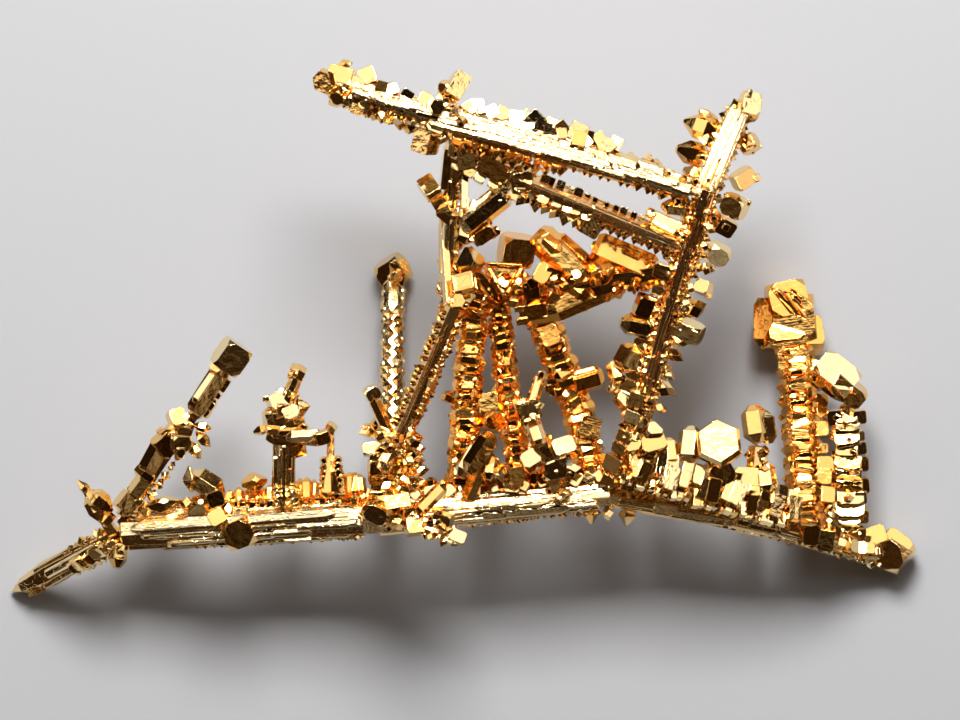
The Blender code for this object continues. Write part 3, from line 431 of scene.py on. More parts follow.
# Fringe of the left half: rows of needles behind its upper edge, stippled, grown at a slant out
# of the bar's back. Their deeper orange gold is painted shade, the colour of gold lit only by other gold.
# Its deep orange base colour is painted shade.
STIPPLED_GOLD_PAINTED_SHADE = gold("stippled_gold_painted_shade", (1.0, 0.57, 0.16), (0.97, 0.44, 0.085), 0.08,
                  lines=1.5, hills=3.5, dots=0.8, seams=0.4)
make("base_bar_left_fringe", STIPPLED_GOLD_PAINTED_SHADE, "pale_gold", [],
     comb(bar, 0.08, 0.99, 34, -84, 0.5, (0.19, 0.1, 0.1), seed=8, vary=0.4, cut=NEEDLE, pitch=-12.0),
     comb(bar, 0.35, 0.99, 30, -62, 0.5, (0.12, 0.09, 0.09), seed=9, vary=0.35, cut=NEEDLE, pitch=-20.0),
     comb(bar, 0.42, 0.62, 7, -84, 0.66, (0.22, 0.1, 0.1), seed=10, cut=NEEDLE, pitch=-22.0),
     comb(bar, 0.70, 0.80, 5, -84, 0.72, (0.26, 0.12, 0.12), seed=11, cut=NEEDLE, pitch=-22.0),
     comb(bar, 0.87, 0.99, 6, -84, 0.78, (0.3, 0.14, 0.13), seed=12, cut=NEEDLE, pitch=-22.0))

# Middle of the base bar: the same striated bundle, with a hedge of small crystals on its upper
# edge, and a thick upright group near its left end.
middle = [(-2.4, -4.6, 2.9), (0.6, -4.35, 3.05), (3.6, -4.05, 3.1)]
tuft = [(0.2, -4.1, 3.4), (0.68, -2.9, 4.05)]
make("base_bar_middle_laths", BAR_GOLD, "pale_gold", ["base_bar_middle"],
     stem(middle, [0.42, 0.38, 0.3], [0.4, 0.36, 0.3], sides=8, roll=12.5),
     terraces(middle, -10, [0.42, 0.38, 0.31], 0.18, 7, (0.9, 2.4), (0.07, 0.14), seed=20),
     terraces(middle, 35, [0.42, 0.38, 0.31], 0.15, 6, (0.7, 2.2), (0.06, 0.14), seed=21),
     terraces(middle, -55, [0.42, 0.38, 0.31], 0.15, 6, (0.6, 2.0), (0.06, 0.14), seed=22),
     terraces(middle, 80, [0.4, 0.36, 0.29], 0.15, 6, (0.5, 1.8), (0.05, 0.12), seed=19),
     bundle(middle, 9, (-60, 60), [0.42, 0.38, 0.31], (0.3, 1.4), (0.02, 0.04), 0.05, seed=18),
     bundle(middle, 20, (110, 260), [0.4, 0.36, 0.3], (0.5, 2.0), (0.06, 0.14), 0.08, seed=23))
make("base_bar_middle_crystals", CRYSTAL_GOLD, "pale_gold", [],
     comb(middle, 0.05, 0.98, 16, -62, 0.5, (0.14, 0.15, 0.14), seed=25, vary=0.35, cut=2.7,
          pitch=-40.0, sway=40.0),
     comb(middle, 0.08, 0.95, 34, 98, 0.4, (0.07, 0.07, 0.06), seed=27, vary=0.4, cut=TWELVE_SIDED),
     crust(middle, 0.02, 1.0, 130, (150, 250), 0.42, 0.06, 0.19, seed=28, cut=BLUNT),
     stem(tuft, [0.2, 0.18], [0.2, 0.18]),
     prism((0.48, -3.05, 3.95), (0.56, 0.24, 0.24), (20, 12, 56), taper=0.35),
     prism((0.22, -3.2, 3.8), (0.5, 0.18, 0.18), (-20, 0, 62), taper=0.4, tip=0.4),
     prism((0.72, -3.4, 3.8), (0.36, 0.17, 0.16), (-23, 20, 80), taper=0.4, tip=0.4),
     cluster((0.95, -3.5, 3.75), (0.22, 0.26, 0.22), (-14, 0, 10), TWELVE_SIDED, buds=3, seed=33),
     cluster((1.3, -3.55, 3.7), (0.2, 0.2, 0.2), (14, 20, 10), 2.6, buds=3, seed=34))
# The fringe's deep orange gold is painted shade.
make("base_bar_middle_fringe", STIPPLED_GOLD_PAINTED_SHADE, "pale_gold", [],
     comb(middle, 0.02, 0.99, 36, -80, 0.46, (0.17, 0.1, 0.1), seed=24, vary=0.4, cut=TWELVE_SIDED),
     comb(middle, 0.3, 0.98, 18, -70, 0.64, (0.2, 0.12, 0.12), seed=26, vary=0.4, cut=lath(6, 0.4, 0.4),
          pitch=-15.0))

# Right part of the base bar: it thins, bends down and ends in one larger crystal on the surface.
right = [(3.5, -4.05, 3.1), (6.2, -4.5, 2.6), (8.1, -4.95, 1.85), (9.5, -5.4, 1.0), (10.2, -5.6, 0.5)]
thorn = [(8.88, -5.1, 1.6), (8.9, -4.3, 1.75)]
make("base_bar_right_laths", BAR_GOLD, "deep_gold", ["base_bar_right"],
     stem(right, [0.28, 0.25, 0.22, 0.2, 0.16], [0.28, 0.25, 0.22, 0.2, 0.18]),
     terraces(right, 20, [0.28, 0.26, 0.22, 0.18], 0.12, 8, (0.4, 1.2), (0.06, 0.13), seed=39,
              span=(0.0, 0.85)),
     terraces(right, 65, [0.28, 0.26, 0.22, 0.18], 0.12, 8, (0.4, 1.2), (0.05, 0.12), seed=40,
              span=(0.0, 0.9)),
     bundle(right, 10, (-90, 90), [0.28, 0.25, 0.22, 0.18], (0.3, 0.8), (0.03, 0.06), 0.06, seed=41,
            span=(0.0, 0.9)),
     bundle(right, 16, (110, 260), [0.28, 0.25, 0.22, 0.18], (0.4, 1.0), (0.05, 0.11), 0.07, seed=42,
            span=(0.0, 0.9)))
make("base_bar_right_crystals", CRYSTAL_GOLD, "deep_gold", [],
     cluster((10.42, -5.42, 0.5), (0.42, 0.36, 0.4), (18, -16, -36)),
     cluster((10.5, -5.2, 0.62), (0.34, 0.16, 0.26), (-22, 10, -36), 2.6),
     cluster((9.98, -5.08, 0.75), (0.24, 0.22, 0.24), (-16, 10, 20), 2.7, buds=2, seed=44),
     cluster((9.6, -5.0, 0.95), (0.2, 0.2, 0.2), (-16, -10, 40), TWELVE_SIDED, buds=1, seed=37),
     cluster((9.8, -5.45, 0.8), (0.2, 0.18, 0.2), (24, 0, 10), 2.6, buds=1, seed=36),
     cluster((8.8, -5.12, 1.85), (0.2, 0.26, 0.2), (14, 0, -8), 2.8),
     cluster((8.4, -5.0, 1.95), (0.2, 0.24, 0.2), (10, 16, -8), 2.7),
     comb(right, 0.62, 0.97, 12, -72, 0.28, (0.13, 0.13, 0.13), seed=45, vary=0.35, cut=2.7,
          pitch=-35.0, sway=40.0),
     comb(right, 0.55, 0.95, 12, -25, 0.22, (0.11, 0.12, 0.12), seed=46, vary=0.35, cut=2.6, sway=40.0),
     comb(right, 0.66, 0.97, 12, 60, 0.22, (0.11, 0.11, 0.11), seed=47, vary=0.35, cut=TWELVE_SIDED),
     comb(right, 0.02, 0.6, 20, 92, 0.26, (0.07, 0.08, 0.08), seed=48, vary=0.4, cut=TWELVE_SIDED),
     cluster((3.15, -4.5, 3.0), (0.2, 0.27, 0.2), (12, 14, 6), 1.1),
     cluster((3.55, -4.5, 3.05), (0.16, 0.2, 0.16), (10, -20, 6), TWELVE_SIDED, buds=1, seed=54),
     cluster((4.02, -4.55, 2.95), (0.22, 0.26, 0.2), (10, -14, -8), 1.1),
     crust(right, 0.0, 0.95, 140, (120, 240), 0.26, 0.05, 0.16, seed=50, cut=BLUNT),
     stem(thorn, [0.12, 0.1], [0.12, 0.1]),
     comb(thorn, 0.1, 0.95, 5, 0, 0.1, (0.08, 0.1, 0.1), seed=51, cut=TWELVE_SIDED),
     cluster((8.9, -4.35, 1.75), (0.13, 0.2, 0.13), (0, 0, 5), 1.6, buds=4, seed=52))

# Left end: a pointed blade that bends down to the surface. At its root stand a dark spur of
# triangular facets and a short hanging prism.
blade = [(-8.3, -5.05, 2.15), (-9.1, -5.5, 1.5), (-9.9, -5.95, 0.75), (-10.5, -6.25, 0.3)]
spur = [(-8.35, -4.95, 2.3), (-9.0, -3.95, 2.75)]
make("left_blade_laths", BAR_GOLD, "deep_gold", ["left_blade"],
     stem(blade, [0.26, 0.3, 0.33, 0.2], [0.26, 0.28, 0.3, 0.2], roll=30.0, taper=2.0),
     terraces(blade, -60, [0.26, 0.29, 0.3, 0.2], 0.1, 6, (0.3, 0.8), (0.04, 0.08), seed=59,
              span=(0.05, 0.86)),
     terraces(blade, 0, [0.26, 0.28, 0.3, 0.2], 0.12, 6, (0.3, 0.8), (0.05, 0.1), seed=60,
              span=(0.05, 0.84)),
     terraces(blade, 60, [0.24, 0.28, 0.3, 0.2], 0.1, 6, (0.3, 0.8), (0.04, 0.08), seed=61,
              span=(0.05, 0.86)),
     bundle(blade, 10, (110, 250), [0.22, 0.24, 0.22, 0.14], (0.3, 0.8), (0.04, 0.1), 0.05, seed=62,
            span=(0.0, 0.9)))
make("left_blade_crystals", CRYSTAL_GOLD, "deep_gold", [],
     comb(blade, 0.0, 0.45, 9, -70, 0.3, (0.15, 0.13, 0.13), seed=63, vary=0.3, cut=TWELVE_SIDED,
          pitch=-20.0),
     comb(blade, 0.0, 0.42, 8, -25, 0.26, (0.13, 0.12, 0.12), seed=64, vary=0.35, cut=2.6, sway=40.0),
     comb(blade, 0.05, 0.4, 6, 65, 0.26, (0.13, 0.12, 0.12), seed=65, vary=0.35, cut=TWELVE_SIDED),
     comb(blade, 0.5, 0.95, 14, -86, 0.28, (0.05, 0.06, 0.06), seed=66, vary=0.3, cut=2.6),
     crust(blade, 0.0, 0.6, 60, (120, 240), 0.26, 0.05, 0.14, seed=67, cut=BLUNT),
     stem(spur, [0.18, 0.1], [0.18, 0.1], sides=4, roll=30.0, taper=1.6),
     prism((-9.02, -3.9, 2.75), (0.28, 0.11, 0.11), (20, 0, -48), taper=0.8, tip=0.1),
     prism((-8.68, -4.2, 2.7), (0.42, 0.23, 0.2), (14, 8, -38), taper=0.7, tip=0.15),
     prism((-8.84, -4.38, 2.62), (0.34, 0.14, 0.14), (-24, 6, -64), taper=0.6, tip=0.2),
     cluster((-8.5, -4.62, 2.5), (0.26, 0.22, 0.22), (-12, 10, 10), TWELVE_SIDED, buds=3, seed=69),
     prism((-8.22, -5.44, 2.3), (0.38, 0.2, 0.18), (4, 16, 84), taper=0.5, tip=0.4),
     prism((-8.4, -5.3, 2.3), (0.2, 0.1, 0.1), (-10, 0, 100), taper=0.6, tip=0.3))

# Rod at the left: dark blocks stacked askew, a bright group half way up, and a blocky head.
leaning = [(-8.15, -4.75, 2.4), (-5.45, -0.75, 3.35)]
make("left_rod_blocks", CRYSTAL_GOLD, "deep_gold", ["left_rod"],
     stem(leaning, [0.15, 0.17], [0.15, 0.17], sides=4, roll=45.0),
     cluster((-8.02, -4.25, 2.55), (0.24, 0.22, 0.2), (14, 16, 50), 2.7, buds=2, bud=(0.3, 0.5), seed=81),
     prism((-7.66, -3.84, 2.65), (0.34, 0.22, 0.21), (14, -12, 54), tip=0.7),
     prism((-7.55, -3.55, 2.75), (0.16, 0.27, 0.24), (24, 0, 54), taper=0.5, tip=0.7),
     prism((-7.35, -3.16, 2.85), (0.4, 0.24, 0.22), (20, 16, 60), taper=0.2, tip=0.75),
     cluster((-7.1, -2.85, 2.95), (0.22, 0.26, 0.22), (20, 10, 40), 2.6, buds=3, bud=(0.3, 0.5), seed=82),
     comb(leaning, 0.12, 0.5, 12, 85, 0.24, (0.1, 0.1, 0.1), seed=88, vary=0.35, cut=TWELVE_SIDED),
     comb(leaning, 0.12, 0.5, 12, -88, 0.24, (0.09, 0.1, 0.09), seed=89, vary=0.35, cut=2.6),
     cluster((-6.8, -2.22, 3.05), (0.2, 0.2, 0.2), (-15, 14, 20), 2.7, buds=2, seed=85),
     cluster((-6.95, -2.5, 3.0), (0.2, 0.18, 0.18), (-14, -20, 40), TWELVE_SIDED, buds=2, seed=84),
     cluster((-6.6, -2.5, 3.12), (0.26, 0.24, 0.24), (-10, 14, 30), TWELVE_SIDED, buds=4,
             bud=(0.3, 0.5), seed=86),
     cluster((-6.72, -2.8, 3.05), (0.22, 0.2, 0.2), (16, 14, 0), 2.5, buds=3, bud=(0.3, 0.5), seed=87),
     prism((-6.2, -2.42, 3.05), (0.24, 0.12, 0.12), (-20, 0, -12), taper=0.7, tip=0.1),
     prism((-6.18, -2.72, 3.0), (0.26, 0.13, 0.13), (24, 0, -48), taper=0.7, tip=0.1),
     prism((-6.36, -2.98, 2.98), (0.26, 0.13, 0.13), (-16, 0, -62), taper=0.7, tip=0.1),
     prism((-6.36, -2.12, 3.1), (0.24, 0.13, 0.13), (20, 0, 8), taper=0.7, tip=0.1),
     prism((-6.04, -1.56, 3.2), (0.64, 0.25, 0.23), (16, 14, 56), taper=0.16, tip=0.72),
     prism((-6.12, -1.5, 3.28), (0.44, 0.12, 0.2), (-21, -2, 56), taper=0.2, tip=0.6),
     comb(leaning, 0.7, 0.88, 6, 80, 0.24, (0.06, 0.09, 0.08), seed=83, vary=0.3, cut=2.6),
     cluster((-5.5, -0.74, 3.36), (0.34, 0.36, 0.3), (12, 16, -34), 2.55),
     cluster((-5.72, -0.95, 3.3), (0.16, 0.26, 0.22), (-20, -26, -30), 2.7))

# Squat rod: a dark square stem with a rough collar, a side arm that ends in a knob, and a small
# tilted cube on top.
squat = [(-4.25, -4.3, 3.0), (-4.22, -2.5, 3.45), (-4.15, -1.75, 3.6), (-3.9, -1.15, 3.75)]
arm = [(-4.15, -2.75, 3.5), (-3.35, -2.68, 3.9)]
make("squat_rod_stem", BAR_GOLD, "deep_gold", ["squat_rod"],
     stem(squat, [0.28, 0.28, 0.2, 0.16], [0.22, 0.22, 0.18, 0.16], sides=8, roll=22.5),
     terraces(squat[:2], 6, 0.24, 0.2, 7, (0.4, 0.9), (0.03, 0.07), seed=100),
     bundle(squat[:2], 9, (-110, 110), 0.22, (0.4, 0.9), (0.03, 0.06), 0.06, seed=101),
     bundle(squat[:2], 6, (120, 240), 0.17, (0.4, 0.9), (0.04, 0.09), 0.06, seed=102))
make("squat_rod_crystals", CRYSTAL_GOLD, "deep_gold", [],
     cluster((-4.3, -2.25, 3.52), (0.4, 0.26, 0.3), (14, 12, 12), 2.5, buds=12, bud=(0.25, 0.5),
             seed=103, wild=24.0),
     cluster((-4.22, -2.6, 3.45), (0.38, 0.2, 0.28), (20, -10, -8), 2.6, buds=8, bud=(0.25, 0.5),
             seed=104, wild=24.0),
     cluster((-4.38, -1.8, 3.62), (0.24, 0.18, 0.18), (-7, 16, 20), 2.6, buds=6, bud=(0.3, 0.5),
             seed=105, wild=24.0),
     cluster((-4.05, -1.62, 3.68), (0.22, 0.18, 0.18), (14, 16, -14), TWELVE_SIDED, buds=5,
             bud=(0.3, 0.5), seed=106, wild=24.0),
     cluster((-3.84, -1.95, 3.62), (0.24, 0.24, 0.2), (14, -8, 10), 1.1),
     cluster((-4.78, -2.5, 3.45), (0.2, 0.12, 0.14), (20, 0, 20), 1.3, buds=1, seed=107),
     comb(squat, 0.02, 0.14, 5, -30, 0.3, (0.14, 0.11, 0.11), seed=108, cut=TWELVE_SIDED),
     comb(squat, 0.02, 0.14, 5, 40, 0.3, (0.14, 0.11, 0.11), seed=109, cut=2.6),
     cluster((-3.92, -1.12, 3.76), (0.28, 0.26, 0.24), (-14, 16, 24), TWELVE_SIDED, buds=2, seed=110),
     cluster((-3.86, -2.98, 3.5), (0.2, 0.24, 0.16), (10, 10, -34), 1.1),
     stem(arm, [0.11, 0.1], [0.11, 0.1], sides=4, roll=45.0),
     prism((-3.74, -2.64, 3.76), (0.44, 0.15, 0.14), (-28, 1, 4), taper=0.3, tip=0.6),
     prism((-3.6, -2.76, 3.72), (0.3, 0.12, 0.12), (26, 0, -6), taper=0.3, tip=0.6),
     cluster((-3.32, -2.68, 3.92), (0.17, 0.15, 0.15), (14, 14, 15), 2.7, buds=2, seed=114))

# Tall rod: slim and bright, with two columns of four-sided pyramids down its front and a block
# head that touches the surface behind.
tall = [(-1.62, -4.4, 2.55), (-1.62, -1.0, 1.35), (-1.6, 1.1, 0.55)]
make("tall_rod_stem", CRYSTAL_GOLD, "deep_gold", ["tall_rod"],
     stem(tall, [0.24, 0.26, 0.26], [0.2, 0.22, 0.22], sides=8, roll=22.5),
     comb(tall, 0.34, 0.84, 12, -27, 0.26, (0.045, 0.17, 0.14), seed=121, vary=0.08, cut=1.0, wild=3.0,
          pitch=27.0),
     comb(tall, 0.36, 0.86, 12, 27, 0.26, (0.045, 0.17, 0.14), seed=122, vary=0.08, cut=1.0, wild=3.0,
          pitch=-27.0),
     comb(tall, 0.36, 0.95, 14, -88, 0.22, (0.08, 0.12, 0.1), seed=123, vary=0.15, cut=1.25, wild=4.0),
     comb(tall, 0.37, 0.96, 14, 88, 0.22, (0.08, 0.12, 0.1), seed=124, vary=0.15, cut=1.25, wild=4.0),
     crust(tall, 0.2, 0.9, 70, (110, 250), 0.2, 0.05, 0.13, seed=125, cut=BLUNT),
     crust(tall, 0.05, 0.38, 34, (-110, 110), 0.3, 0.09, 0.19, seed=126, cut=TWELVE_SIDED),
     cluster((-1.6, 1.3, 0.44), (0.32, 0.34, 0.36), (14, -16, 32), 2.45),
     cluster((-1.5, 1.36, 0.62), (0.22, 0.2, 0.22), (-7, 12, 10), 2.6, buds=2, bud=(0.3, 0.5), seed=128))

# Strut that leans from the base bar to the left column: dark and grooved, toothed on its left,
# with a crowd of crystals and one more prism round its foot.
strut = [(-1.62, -3.1, 3.5), (-0.1, 0.45, 4.55)]
foot = [(-1.45, -4.3, 3.1), (-1.55, -2.6, 3.6)]
leaner = [(-1.6, -2.8, 3.35), (-2.08, -1.7, 3.3)]
GROOVED_GOLD = gold("grooved_gold", (1.0, 0.70, 0.36), (0.98, 0.58, 0.22), 0.05,
                    lines=1.0, hills=0.6, dots=0.3, seams=0.3)
make("dark_strut_laths", GROOVED_GOLD, "deep_gold", ["dark_strut"],
     stem(strut, [0.24, 0.25], [0.2, 0.22], roll=30.0),
     bundle(strut, 11, (-30, 80), 0.18, (0.5, 1.7), (0.02, 0.04), 0.05, seed=141),
     bundle(strut, 12, (100, 260), 0.2, (0.4, 1.4), (0.04, 0.09), 0.06, seed=142))
make("dark_strut_crystals", CRYSTAL_GOLD, "deep_gold", [],
     comb(strut, 0.18, 0.94, 20, -84, 0.26, (0.13, 0.08, 0.1), seed=143, cut=TWELVE_SIDED,
          wild=8.0, pitch=-16.0),
     crust(strut, 0.1, 0.95, 60, (35, 90), 0.24, 0.04, 0.09, seed=140, cut=TWELVE_SIDED, tall=1.0),
     comb(strut, 0.3, 0.95, 16, 80, 0.24, (0.11, 0.09, 0.09), seed=144, vary=0.35, cut=TWELVE_SIDED),
     comb(strut, 0.1, 0.6, 14, 52, 0.22, (0.08, 0.08, 0.08), seed=145, vary=0.35, cut=2.6),
     crust(strut, 0.05, 0.95, 60, (120, 240), 0.2, 0.05, 0.12, seed=146, cut=BLUNT),
     stem(foot, [0.3, 0.24], [0.26, 0.22]),
     crust(foot, 0.0, 1.0, 46, (-120, 120), 0.38, 0.12, 0.23, seed=147, cut=TWELVE_SIDED),
     crust(foot, 0.0, 1.0, 40, (120, 240), 0.34, 0.08, 0.18, seed=148, cut=BLUNT),
     comb(foot, 0.1, 0.7, 5, -84, 0.5, (0.2, 0.16, 0.14), seed=149, cut=2.8, vary=0.3),
     comb(foot, 0.1, 0.95, 6, 92, 0.52, (0.2, 0.15, 0.14), seed=150, cut=TWELVE_SIDED, vary=0.3),
     cluster((-2.2, -2.5, 3.4), (0.26, 0.2, 0.18), (-14, 10, 20), TWELVE_SIDED, buds=3, seed=151),
     cluster((-2.1, -2.95, 3.4), (0.24, 0.14, 0.16), (-12, 0, 8), 2.6, buds=1, seed=154),
     stem(leaner, [0.1, 0.12], [0.1, 0.12], sides=4, roll=45.0),
     prism((-1.88, -2.2, 3.35), (0.5, 0.14, 0.14), (-16, -14, 114), taper=0.2, tip=0.7),
     cluster((-2.12, -1.62, 3.3), (0.18, 0.16, 0.15), (14, 14, 30), 2.5, buds=2, seed=153))

# Left upright of the upper frame: a pale square edge bar, with large octahedra and cubes to both
# sides and a diagonal prism towards the lower beam.
upright = [(-0.28, 0.2, 4.1), (-0.2, 2.7, 4.6), (-0.1, 4.1, 4.95)]
make("left_column_bars", BAR_GOLD, "deep_gold", ["left_column"],
     stem(upright, [0.15, 0.15, 0.18], [0.26, 0.22, 0.22], sides=4, roll=45.0),
     bundle(upright, 14, (-70, 70), 0.16, (0.3, 1.3), (0.04, 0.08), 0.06, seed=161),
     bundle(upright, 10, (110, 250), 0.16, (0.3, 1.3), (0.04, 0.08), 0.06, seed=162),
     prism((0.6, 2.8, 4.96), (0.68, 0.28, 0.26), (12, 0, 39), taper=0.2, tip=0.7),
     prism((0.5, 2.96, 5.08), (0.5, 0.07, 0.12), (-24, 0, 39), taper=0.3))
make("left_column_crystals", CRYSTAL_GOLD, "deep_gold", [],
     cluster((-0.12, 4.35, 5.0), (0.2, 0.26, 0.28), (5, 10, -5), 2.7, buds=3, seed=165),
     cluster((-0.32, 3.8, 4.95), (0.12, 0.5, 0.18), (14, 6, -5), 2.8, buds=1, seed=166),
     cluster((-0.1, 3.8, 4.98), (0.1, 0.55, 0.16), (16, -8, -5), 2.8, buds=1, seed=167),
     cluster((0.1, 3.4, 4.9), (0.08, 0.6, 0.12), (-12, 10, -2), 2.8, buds=3, seed=184),
     cluster((-0.25, 4.62, 5.35), (0.24, 0.28, 0.26), (20, 0, 15), TWELVE_SIDED, buds=4, seed=168),
     cluster((-0.74, 3.32, 4.75), (0.2, 0.25, 0.2), (-27, 0, 32), 2.8, buds=1, seed=169),
     cluster((-0.5, 3.0, 4.78), (0.17, 0.14, 0.18), (30, 0, 30), 2.7, buds=3, seed=170),
     cluster((-0.32, 2.72, 4.9), (0.29, 0.3, 0.28), (-10, 24, 8), 1.15, buds=2, seed=171),
     cluster((-0.35, 1.5, 4.55), (0.08, 1.0, 0.16), (-14, 14, 2), 2.85, buds=3, bud=(0.3, 0.6), seed=185),
     cluster((0.12, 2.2, 4.8), (0.28, 0.26, 0.28), (20, 12, 30), TWELVE_SIDED, buds=6, bud=(0.25, 0.5),
             seed=172),
     cluster((0.55, 2.25, 4.7), (0.26, 0.18, 0.2), (30, 0, 35), 2.7, buds=6, bud=(0.25, 0.5), seed=173),
     cluster((0.25, 1.5, 4.72), (0.35, 0.42, 0.34), (8, 18, 10), 1.25, buds=2, bud=(0.12, 0.3), seed=174),
     cluster((0.12, 1.02, 4.98), (0.25, 0.21, 0.2), (-18, -14, 12), 2.85, hollow=0.06),
     cluster((0.04, 0.62, 4.85), (0.28, 0.24, 0.26), (30, 20, 20), 1.4, buds=3, seed=176),
     cluster((0.35, 2.8, 4.98), (0.22, 0.26, 0.24), (25, 10, 8), TWELVE_SIDED, buds=6, seed=177),
     cluster((0.78, 2.25, 4.65), (0.14, 0.16, 0.14), (20, 0, 10), 1.3, buds=3, seed=178),
     cluster((0.98, 3.1, 5.08), (0.14, 0.12, 0.12), (-24, 10, 39), 2.6),
     comb(upright, 0.02, 0.4, 7, -90, 0.18, (0.08, 0.07, 0.08), seed=181, vary=0.3, cut=TWELVE_SIDED),
     crust(upright, 0.05, 0.98, 26, (20, 100), 0.24, 0.06, 0.14, seed=182, cut=TWELVE_SIDED),
     crust(upright, 0.05, 0.98, 90, (110, 250), 0.24, 0.05, 0.15, seed=183, cut=BLUNT))

# Upper cross beam: the broadest and brightest, plated with long laths on its front, a row of
# crystals on its upper edge, fine teeth below, and a knot of large ones a third of the way.
upper = [(-3.2, 5.85, 6.0), (-1.4, 5.22, 5.85), (1.0, 4.62, 5.65), (3.35, 3.95, 5.5), (5.8, 3.2, 5.4)]


def plate(at, radius, thick, turn, sides=6):
    """A flat six-sided crystal: its outline is carried through its thickness in four rings, wide
    at the middle and bevelled towards both faces."""
    centre, axes = np.asarray(at, float), turned(np.eye(3)[None], turn)[0]
    turns = 2.0 * np.pi * np.arange(sides) / sides + np.pi / 2.0
    sizes, heights = np.array([0.86, 1.0, 1.0, 0.86]), thick * np.array([1.0, 0.3, -0.3, -1.0])
    rings = np.zeros((4, sides, 3))
    rings[:, :, 0] = radius * sizes[:, None] * np.cos(turns)
    rings[:, :, 1] = 1.1 * radius * sizes[:, None] * np.sin(turns)
    rings[:, :, 2] = heights[:, None]
    own = np.concatenate([rings.reshape(-1, 3), [[0, 0, thick], [0, 0, -thick]]])
    here = np.arange(3 * sides).reshape(3, sides)
    right = np.roll(here, -1, axis=1)
    first, last = np.arange(sides), np.arange(sides) + 3 * sides
    triangles = np.concatenate([
        np.stack([here, here + sides, right + sides], -1).reshape(-1, 3),
        np.stack([here, right + sides, right], -1).reshape(-1, 3),
        np.stack([first, np.roll(first, -1), np.full(sides, 4 * sides)], -1),
        np.stack([np.roll(last, -1), last, np.full(sides, 4 * sides + 1)], -1)])
    return centre + own @ axes, triangles, 10.0 * own


make("upper_beam_laths", BAR_GOLD, "pale_gold", ["upper_beam"],
     stem(upper, [0.2, 0.3, 0.37, 0.32, 0.12], [0.22, 0.3, 0.35, 0.3, 0.14], sides=8, roll=2.5),
     terraces(upper, -20, [0.24, 0.33, 0.38, 0.31, 0.16], 0.3, 20, (0.5, 1.5), (0.09, 0.2), seed=191,
              span=(0.26, 1.0)),
     terraces(upper, -20, [0.26, 0.35, 0.41, 0.34, 0.19], 0.26, 14, (0.25, 0.8), (0.05, 0.12), seed=192,
              span=(0.28, 0.98)),
     terraces(upper, -26, [0.32, 0.42, 0.44, 0.34, 0.2], 0.26, 18, (0.15, 0.45), (0.08, 0.15), seed=193,
              span=(0.02, 0.3)),
     terraces(upper, -16, [0.24, 0.34, 0.4, 0.35, 0.2], 0.17, 20, (0.4, 1.3), (0.05, 0.12), seed=195,
              span=(0.27, 0.84), strip=-0.2),
     terraces(upper, -16, [0.24, 0.34, 0.4, 0.34, 0.2], 0.12, 12, (0.3, 0.8), (0.04, 0.09), seed=181,
              span=(0.7, 1.0), strip=-0.11),
     terraces(upper, 25, [0.24, 0.33, 0.38, 0.31, 0.16], 0.16, 12, (0.3, 1.2), (0.04, 0.1), seed=194,
              span=(0.25, 1.0)),
     terraces(upper, -65, [0.24, 0.33, 0.38, 0.31, 0.16], 0.16, 10, (0.3, 1.2), (0.05, 0.12), seed=189),
     terraces(upper, 70, [0.22, 0.32, 0.38, 0.3, 0.16], 0.16, 12, (0.3, 1.2), (0.05, 0.12), seed=190),
     bundle(upper, 22, (110, 260), [0.22, 0.3, 0.36, 0.3, 0.13], (0.5, 1.6), (0.05, 0.13), 0.08, seed=188))
make("upper_beam_crystals", CRYSTAL_GOLD, "pale_gold", [],
     plate((-3.22, 5.88, 6.1), 0.3, 0.24, (0, -26, 12)),
     cluster((-2.86, 6.02, 6.05), (0.3, 0.2, 0.2), (-9, -10, -14), 2.9, buds=3, seed=187),
     cluster((-2.78, 6.28, 5.9), (0.2, 0.15, 0.18), (-14, 10, 8), TWELVE_SIDED, buds=2, seed=186),
     cluster((-2.2, 5.98, 5.95), (0.2, 0.2, 0.2), (-16, -6, 24), 2.8, buds=2, seed=185),
     comb(upper, 0.13, 0.29, 5, -66, 0.38, (0.16, 0.17, 0.16), seed=197, vary=0.25, cut=2.75,
          pitch=-40.0, sway=40.0),
     comb(upper, 0.07, 0.28, 6, -40, 0.24, (0.14, 0.17, 0.15), seed=198, vary=0.3, cut=2.7, pitch=-67.0),
     crust(upper, 0.03, 0.3, 30, (30, 75), 0.28, 0.08, 0.16, seed=199, cut=2.6),
     plate((-0.56, 5.28, 6.2), 0.21, 0.2, (6, 4, 25)),
     cluster((-0.1, 5.75, 5.98), (0.2, 0.33, 0.24), (-20, 16, -32), 2.9),
     cluster((-0.36, 5.72, 5.95), (0.12, 0.16, 0.14), (20, -28, -10), 2.6),
     cluster((-0.79, 4.52, 5.8), (0.23, 0.36, 0.27), (6, -31, -16), 2.85),
     cluster((-0.62, 4.78, 5.95), (0.2, 0.18, 0.2), (-18, 12, -20), 2.7, buds=2, seed=182),
     crust(upper, 0.28, 0.4, 20, (-100, 120), 0.42, 0.08, 0.18, seed=203, cut=TWELVE_SIDED),
     comb(upper, 0.36, 0.52, 6, -80, 0.44, (0.15, 0.15, 0.14), seed=204, vary=0.25, cut=2.75, sway=40.0,
          pitch=-28.0),
     comb(upper, 0.51, 0.75, 8, -82, 0.52, (0.19, 0.19, 0.18), seed=205, vary=0.25, cut=2.8, sway=40.0,
          pitch=-17.0),
     comb(upper, 0.53, 0.73, 6, -62, 0.42, (0.15, 0.15, 0.15), seed=206, vary=0.3, cut=2.7, sway=40.0,
          pitch=-58.0, wild=9.0),
     comb(upper, 0.76, 0.98, 7, -84, 0.22, (0.09, 0.12, 0.09), seed=207, vary=0.4, cut=TWELVE_SIDED,
          pitch=-30.0),
     crust(upper, 0.02, 0.98, 210, (120, 250), 0.34, 0.06, 0.18, seed=211, cut=BLUNT))
